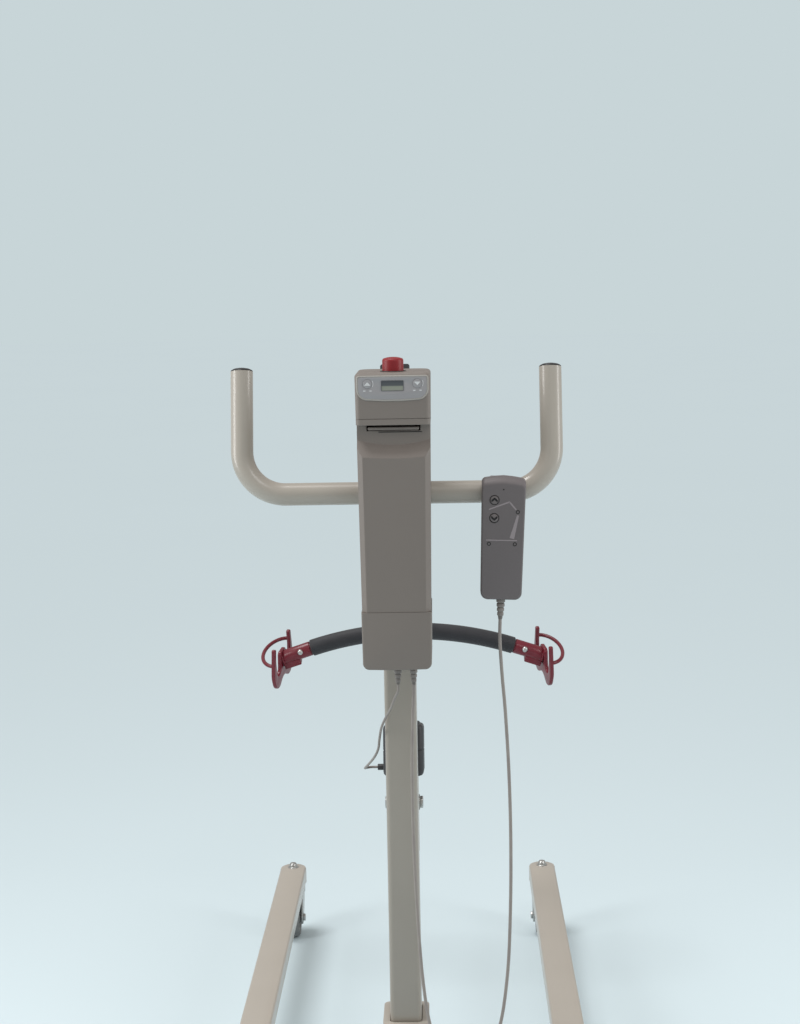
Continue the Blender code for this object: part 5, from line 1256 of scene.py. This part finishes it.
def actuator():
    """Linear actuator: foot bracket, gear and motor housing, outer tube, chromed rod, release ring."""
    y, z = RAM_FOOT.y, RAM_FOOT.z
    face = mast_high.y - MAST_Y + GAP
    ear = outline([(face + 0.003, z + 0.048, 0), (face + 0.003, z - 0.048, 0),
                   (y + 0.017, z - 0.018, 0.017), (y + 0.017, z + 0.018, 0.017)])
    ears = twin_plates([ear, circle(BOLT_HOLE, (y, z))], 0.005, 0.0008, 0.0185)
    base = box((0.044, 0.006, 0.110), (0, face + 0.003, z), 0.0015)
    dress("ram_bracket", built(base, add=ears), CREAM, "frame", LIFT, ["actuator_bracket"])
    heads = [mesh for rise in (-0.040, 0.040)
             for mesh in hexagon(0.0055, 0.0030, shift(0, face + 0.006, z + rise) @ turn(-90, "X"), 0.0005)]
    dress("ram_bracket_screws", joined(heads), ZINC, "frame")
    cross_bolt("ram_foot_pin", "actuator_pin", 0.006, 0.0213, 0.009, 0.006, "frame", RAM)
    levels = [(0.0380, 0.0060), (0.0392, 0.0028), (0.0415, 0.0008), (0.0450, 0.0), (0.0740, 0.0),
              (0.0743, 0.0010), (0.0755, 0.0010), (0.0758, 0.0), (0.1050, 0.0), (0.1085, 0.0008),
              (0.1108, 0.0028), (0.1120, 0.0060)]
    gear = loft([[Vector((*point, height)) for point in
                  rectangle(0.058 - 2 * inset, 0.106 - 2 * inset, 0.0100 - inset, (0, 0.026))]
                 for height, inset in levels])
    tail = outline(both_halves([(-0.0155, 0.046, 0), (-0.0155, -0.0155, 0.0153)]))
    clevis = moved(plate([tail, circle(BOLT_HOLE)], 0.031, 0.0010), FACE_X)
    can = lathe([(0, 0.232), (0.0150, 0.232), (0.0190, 0.226), (0.0190, 0.122), (0.0184, 0.121),
                 (0.0184, 0.119), (0.0190, 0.118), (0.0190, 0.095), (0, 0.095)], 0.0014)
    neck = lathe([(0, 0.116), (0.0235, 0.116), (0.0255, 0.098), (0, 0.098)], 0.0015)
    gland = rod(0.0045, (-0.026, 0.009, 0.050), (-0.038, 0.009, 0.050), 24, 0.0006)
    seat = rod(0.0205, (0, 0, 0.1065), (0, 0, 0.130), 48)
    housing = built(gear, add=[clevis, moved(can, shift(y=0.0505)), neck, gland], cut=[seat])
    dress("ram_motor_housing", housing, HOUSING, "ram", RAM, ["actuator_motor"])
    top, bottom, bore = RAM_REST - 0.072, 0.1073, 0.0114
    barrel = lathe([(0, bottom + 0.004), (bore, bottom + 0.004), (bore, top), (0.0165, top),
                    (0.0200, top - 0.004), (0.0200, bottom), (0, bottom)], 0.0010, 64)
    dress("ram_outer_tube", barrel, CREAM, "ram", RAM, ["actuator_tube"])
    eye = moved(plate([circle(0.0150), circle(0.0076)], 0.024, 0.0008), FACE_X, shift(z=RAM_REST))
    inner_rod = rod(0.0110, (0, 0, 0.120), (0, 0, RAM_REST - 0.0105), 64)
    dress("ram_chromed_rod", joined([inner_rod, eye]), CHROME, "ram_rod", RAM, ["actuator_rod"])
    low, high = RAM_REST - 0.066, RAM_REST - 0.040
    grip = lathe([(bore, high), (0.0150, high), (0.0164, high - 0.003), (0.0164, low + 0.003),
                  (0.0150, low), (bore, low), (bore, high)], 0.0008, 64)
    rib = box((0.0016, 0.0018, high - low - 0.007), (0.0164, 0, (high + low) / 2), 0.0005, 2)
    dress("ram_release_collar", joined([grip, grown(rib, RING_TREE, STOP, count=20)]), STOP, "ring", RAM,
          ["release_ring"])


def hanger():
    """Clevis on the boom's lug, with the boss that the spreader swivels in."""
    cheek = outline(both_halves([(-0.016, 0.016, 0.0158), (-0.019, -0.058, 0)]))
    cheeks = twin_plates([cheek, circle(BOLT_HOLE)], 0.0058, 0.0008, 0.0096)
    crown = box((0.0262, 0.036, 0.018), (0, 0, -0.049), 0.0012)
    boss = lathe([(0, -0.052), (0.0165, -0.052), (0.0185, -0.055), (0.0185, -0.070), (0, -0.070)],
                 0.0012, 64)
    swivel = rod(0.0064, (0, 0, -0.080), (0, 0, -0.058))
    clevis = built(crown, add=[*cheeks, boss], cut=[swivel])
    dress("hanger_clevis", clevis, CREAM, "hanger", HANGER, ["hanger_fork"])
    cross_bolt("hanger_pivot_bolt", "hanger_bolt", 0.006, 0.0128, 0.0100, 0.006, "hanger", HANGER)


# Base and legs

def dome_nut(place):
    """Capped nut of a caster's stem on its washer."""
    dome = lathe([(0, 0.0100), (0.0058, 0.0085), (0.0075, 0.0048), (0.0076, 0.0012), (0.0105, 0.0010),
                  (0.0105, -0.0004), (0, -0.0004)], 0.0008, 36)
    return moved(dome, place)


def base():
    """Crossbeam with the mast socket, its webs, the end plates and the pedal bearings welded on."""
    beam = box((0.400, 0.060, 0.040), (0, 0, 0.118), 0.005, 4)
    socket = plate([rectangle(0.064, 0.080, 0.009), rectangle(0.0449, 0.0634, 0.0067)],
                   SOCKET_TOP - PLATE_TOP, 0.0010)
    welds = [moved(socket, shift(z=(SOCKET_TOP + PLATE_TOP) / 2))]
    screw_hole = rod(0.0055, (0, -0.060, KNOB_Z), (0, -0.020, KNOB_Z), 24)
    nuts = []
    for side in (-1, 1):
        pivot_hole = circle(BOLT_HOLE, (side * LEG_PIVOT.x, LEG_PIVOT.y))
        web = outline([(0.030, BEAM_TOP - 0.001, 0), (0.092, BEAM_TOP - 0.001, 0),
                       (0.092, BEAM_TOP + 0.006, 0), (0.036, 0.222, 0.004), (0.030, 0.222, 0)])
        welds.append(moved(plate([[Vector((side * x, y)) for x, y in web]], 0.006, 0.0008), FACE_Y))
        top = outline([(side * 0.183, -0.030, 0), (side * 0.205, -0.116, 0.020),
                       (side * 0.278, -0.116, 0.020), (side * 0.278, 0.078, 0.020),
                       (side * 0.183, 0.078, 0.012)])
        welds.append(moved(plate([top, pivot_hole], PLATE_THICK, 0.0010),
                           shift(z=PLATE_TOP - PLATE_THICK / 2)))
        low = outline([(side * 0.145, 0.012, 0.006), (side * 0.278, 0.012, 0.014),
                       (side * 0.278, 0.078, 0.014), (side * 0.205, 0.078, 0.014)])
        welds.append(moved(plate([low, pivot_hole], LOWER_PLATE_THICK, 0.0010),
                           shift(z=LOWER_PLATE_TOP - LOWER_PLATE_THICK / 2)))
        nuts.append(dome_nut(shift(side * CASTERS["rear"][0], CASTERS["rear"][1], PLATE_TOP)))
    lug = outline(both_halves([(-0.024, 0.101, 0), (-0.015, 0.059, 0.0148)]))
    for y in (-0.021, 0.021):
        welds.append(moved(plate([lug, circle(0.0084, (0, SHAFT_Z))], 0.008, 0.0008), FACE_Y, shift(y=y)))
    dress("base_weldment", built(beam, add=welds, cut=[screw_hole]), CREAM, "frame", LIFT, ["base_frame"])
    dress("rear_stem_nuts", joined(nuts), ZINC, "frame")


def clamp_knob():
    """Five-lobed knob with its hub and the screw that clamps the mast."""
    lobes, points = 5, 120
    rim = [(0.0225 + 0.0035 * math.cos(lobes * 2 * math.pi * n / points), 2 * math.pi * n / points)
           for n in range(points)]
    grip = plate([[Vector((reach * math.cos(a), reach * math.sin(a))) for reach, a in rim]], 0.014, 0.003, 4)
    hub = lathe([(0, 0.016), (0.009, 0.016), (0.012, 0.0), (0, 0.0)])
    parts = [moved(grip, FACE_Y, shift(0, -0.062, KNOB_Z)),
             moved(hub, turn(180, "X"), ALONG_Y, shift(0, -0.0405, KNOB_Z)),
             rod(0.005, (0, -0.050, KNOB_Z), (0, -0.0315, KNOB_Z), 24)]
    dress("mast_clamp_knob", joined(parts), BLACK, "knob", LIFT, ["mast_knob"])


def leg_place(side):
    return LIFT @ shift(SIDES[side] * LEG_PIVOT.x, LEG_PIVOT.y)


def leg(side):
    """Box-section leg: caster boss on its tip, link stud below, pivot bolt and rear end plug."""
    sign, half, tip = SIDES[side], 0.025, LEG_LENGTH - 0.025
    rear, level = -0.028, (LEG_TOP + LEG_BOTTOM) / 2
    beam = box((0.050, tip - rear, LEG_TOP - LEG_BOTTOM), (0, (tip + rear) / 2, level), 0.004, 4)
    top, low, rim = LEG_TOP + 0.0010, LEG_BOTTOM + 0.0005, half + 0.0003
    boss = turned([(0, top), (half - 0.0040, top), (half - 0.0012, top - 0.0012), (rim, top - 0.0040),
                   (rim, low), (0, low)], 64)
    swing = LEG_SPREAD / 2
    stud_place = Vector((-sign * LINK_ARM * math.sin(swing), LINK_ARM * math.cos(swing), SHAFT_Z))
    stud = lathe([(0, LEG_BOTTOM + 0.001), (0.008, LEG_BOTTOM + 0.001), (0.008, 0.0815), (0.004, 0.0815),
                  (0.004, 0.0690), (0.0070, 0.0690), (0.0070, 0.0640), (0, 0.0630)], 0.0006, 36)
    stud = moved(stud, shift(stud_place.x, stud_place.y))
    bolt_hole = rod(BOLT_HOLE, (0, 0, 0.090), (0, 0, 0.140))
    body, place = f"leg_{side}", leg_place(side)
    beam = built(beam, add=[moved(boss, shift(y=tip)), stud], cut=[bolt_hole])
    dress(f"leg_beam_{side}", beam, CREAM, body, place, [f"leg_{side}"])
    dress(f"leg_tip_nut_{side}", dome_nut(shift(0, tip, top)), ZINC, body, place)
    plug = box((0.046, 0.0035, 0.026), (0, rear - 0.0010, level), 0.0012)
    dress(f"leg_end_plug_{side}", plug, BLACK, body, place)
    high, under = PLATE_TOP + GAP, LOWER_PLATE_TOP - LOWER_PLATE_THICK - GAP
    bolt = [rod(0.006, (0, 0, 0.086), (0, 0, 0.140)), *hexagon(0.0100, 0.0063, shift(z=high), 0.0012),
            *hexagon(0.0105, 0.0055, shift(z=under) @ turn(180, "X"))]
    dress(f"leg_pivot_bolt_{side}", joined(bolt), ZINC, "frame", place, [f"leg_bolt_{side}"])
    pin = Vector((-sign * CRANK * math.sin(CRANK_REST) - sign * LEG_PIVOT.x, stud_place.y,
                  SHAFT_Z + sign * CRANK * math.cos(CRANK_REST)))
    reach = (pin - stud_place).normalized()
    bar = rod(0.0040, stud_place + reach * 0.0073, pin - reach * 0.0086, 24)
    leg_eye = moved(plate([circle(0.0095), circle(0.0044)], 0.009, 0.0007), Matrix.Translation(stud_place))
    pin_eye = moved(plate([circle(0.0105), circle(0.0061)], 0.009, 0.0007), FACE_Y, Matrix.Translation(pin))
    dress(f"spread_link_{side}", built(leg_eye, add=[bar, pin_eye]), ZINC, f"link_{side}", place,
          [f"link_rod_{side}"])


def pedal():
    """Rocker shaft with ribbed rubber treads behind and the link crank in front."""
    place = LIFT @ shift(z=SHAFT_Z) @ Matrix.Rotation(-CRANK_REST, 4, "Y")
    shaft = rod(0.008, (0, -0.152, 0), (0, 0.116, 0), 48, 0.0008)
    arm = outline([(-0.118, -0.004, 0.006), (-0.105, -0.012, 0), (0, -0.016, 0.060), (0.105, -0.012, 0),
                   (0.118, -0.004, 0.006), (0.100, 0.006, 0.004), (0, 0.014, 0.060), (-0.100, 0.006, 0.004)])
    cheek = outline(both_halves([(-0.013, CRANK + 0.013, 0.0125), (-0.017, 0, 0.010),
                                 (-0.013, -CRANK - 0.013, 0.0125)]))
    welds = [moved(plate([arm], 0.026, 0.0010), FACE_Y, shift(y=TREAD_Y)),
             moved(plate([cheek], 0.006, 0.0008), FACE_Y, shift(y=0.1135)),
             *(rod(0.012, (0, y, 0), (0, y + 0.006, 0), 36) for y in (-0.0320, 0.0260))]
    dress("spread_rocker", built(shaft, add=welds), CREAM, "pedal", place, ["leg_pedal"])
    pins, pads = [], []
    for side in (-1, 1):
        pins.append(rod(0.004, (0, 0.112, side * CRANK), (0, 0.134, side * CRANK), 24))
        pins.append(rod(0.0085, (0, 0.1320, side * CRANK), (0, 0.1360, side * CRANK), 32, 0.0006))
        pads.append(box((0.062, 0.052, 0.0125), (side * 0.088, TREAD_Y, 0.0080), 0.003))
        pads += [box((0.0030, 0.044, 0.0020), (side * 0.088 + step * 0.0075, TREAD_Y, 0.0143), 0.0008, 2)
                 for step in range(-3, 4)]
    dress("spread_crank_pins", joined(pins), ZINC, "pedal", place)
    dress("spread_pedal_treads", joined(pads), RUBBER, "pedal", place)


def caster(end, side):
    """Caster: plated fork with its bearing cup and axle, a spoked wheel, and the rear ones' brakes."""
    x, y, radius, trail = CASTERS[end]
    braked = end == "rear"
    place = LIFT @ shift(SIDES[side] * x, y)
    crown_top = (PLATE_TOP - PLATE_THICK if braked else LEG_BOTTOM) - GAP
    inner, outer, crown = 0.0162, 0.0195, radius * 2 + 0.0045
    strap_top = crown + 0.0045
    strap = outline([(-outer, 0, 0), (-outer, strap_top, 0.010), (outer, strap_top, 0.010), (outer, 0, 0),
                     (inner, 0, 0), (inner, crown, 0.007), (-inner, crown, 0.007), (-inner, 0, 0)])
    ear = [(-0.058, radius + 0.014, 0.010), (-0.091, radius + 0.021, 0.005), (-0.089, radius + 0.036, 0.005),
           (-0.060, radius + 0.045, 0.010)]
    back = ear if braked else [(-trail - 0.013, radius + 0.004, 0.006)]
    cheek = outline([(0.024, strap_top + 0.002, 0), (0.022, crown - 0.012, 0.010),
                     (-trail + 0.014, radius - 0.012, 0.010), (-trail - 0.012, radius - 0.013, 0.011),
                     *back, (-0.026, strap_top + 0.002, 0)])
    arch = built(moved(plate([strap], 0.300), FACE_Y), keep=[moved(plate([cheek], 0.060), FACE_X)])
    cup = turned([(0, crown_top), (0.0125, crown_top), (0.0150, crown_top - 0.0006),
                  (0.0205, crown_top - 0.003), (0.0225, crown_top - 0.0055), (0.0225, strap_top - 0.001),
                  (0, strap_top - 0.001)], 64)
    hinge_z = radius + BRAKE_PIN_RISE
    hinge = [rod(0.0029, (-0.03, BRAKE_PIN_Y, hinge_z), (0.03, BRAKE_PIN_Y, hinge_z), 24)] if braked else []
    body = f"caster_{end}_{side}"
    dress(f"{end}_fork_{side}", built(arch, add=[cup], cut=hinge, edge=0.0007), ZINC, body, place,
          [f"fork_{end}_{side}"])
    axle = [rod(0.004, (-outer - 0.001, -trail, radius), (outer + 0.001, -trail, radius), 24)]
    for way in (-1, 1):
        axle += side_head(way, outer, -trail, radius, 0.0075, 0.0040, 0.0005)
    dress(f"{end}_axle_bolt_{side}", joined(axle), ZINC, body, place)
    half, rim, dish = 0.0140, radius * 0.66, 0.0080
    centre = place @ shift(0, -trail, radius)
    tread = ring_profile([(rim, half - 0.0010), (radius - 0.0050, half), (radius - 0.0012, half - 0.0042),
                          (radius, half - 0.0080)])
    wheel = f"wheel_{end}_{side}"
    dress(f"{end}_tyre_{side}", moved(lathe(tread, 0.0012, 96), ALONG_X), TYRE, wheel, centre, [wheel])
    hub = ring_profile([(0.0044, half), (0.0105, half), (0.0125, dish), (rim - 0.0025, dish),
                        (rim - 0.0012, half - 0.0012), (rim + 0.0004, half - 0.0014)])
    spoke = box((rim - 0.0130, 0.0018, 2 * half - 0.0040), ((rim + 0.0110) / 2, 0, 0), 0.0005, 2)
    spokes = grown(spoke, RING_TREE, HUB, count=8)
    dress(f"{end}_hub_{side}", moved(joined([lathe(hub, 0.0007, 64), spokes]), ALONG_X), HUB, wheel, centre)
    if braked:
        brake(side, place, hinge_z)


def brake(side, place, hinge_z):
    """Foot brake behind a rear wheel, on a pin through the fork's ears."""
    shape = outline([(-0.0822, -0.006, 0), (-0.0790, -0.001, 0), (-0.0790, 0.006, 0.002), (-0.090, 0.008, 0),
                     (-0.112, 0.004, 0.003), (-0.113, -0.002, 0.002), (-0.090, -0.006, 0)])
    lever = moved(plate([shape], 0.030, 0.0010), FACE_X, shift(z=hinge_z))
    tread = box((0.050, 0.018, 0.0065), (0, -0.104, hinge_z + 0.0022), 0.002)
    pin = rod(0.0025, (-0.0192, BRAKE_PIN_Y, hinge_z), (0.0192, BRAKE_PIN_Y, hinge_z), 24)
    ribs = [box((0.0020, 0.014, 0.0010), (step * 0.006, -0.104, hinge_z + 0.0056), 0.0004, 1)
            for step in range(-3, 4)]
    whole = joined([built(lever, add=[tread, pin]), *ribs])
    dress(f"brake_tread_{side}", whole, STOP, f"brake_{side}", place, [f"brake_pedal_{side}"])


cords()
cable_plugs()
handle()
head_shell()
panel()
battery_pack()
foot()
stop_head()
handset()
spreader()
mast()
boom()
actuator()
hanger()
base()
clamp_knob()
pedal()
for side_name, side_sign in SIDES.items():
    hook(side_name, side_sign)
    leg(side_name)
    for end_name in CASTERS:
        caster(end_name, side_name)
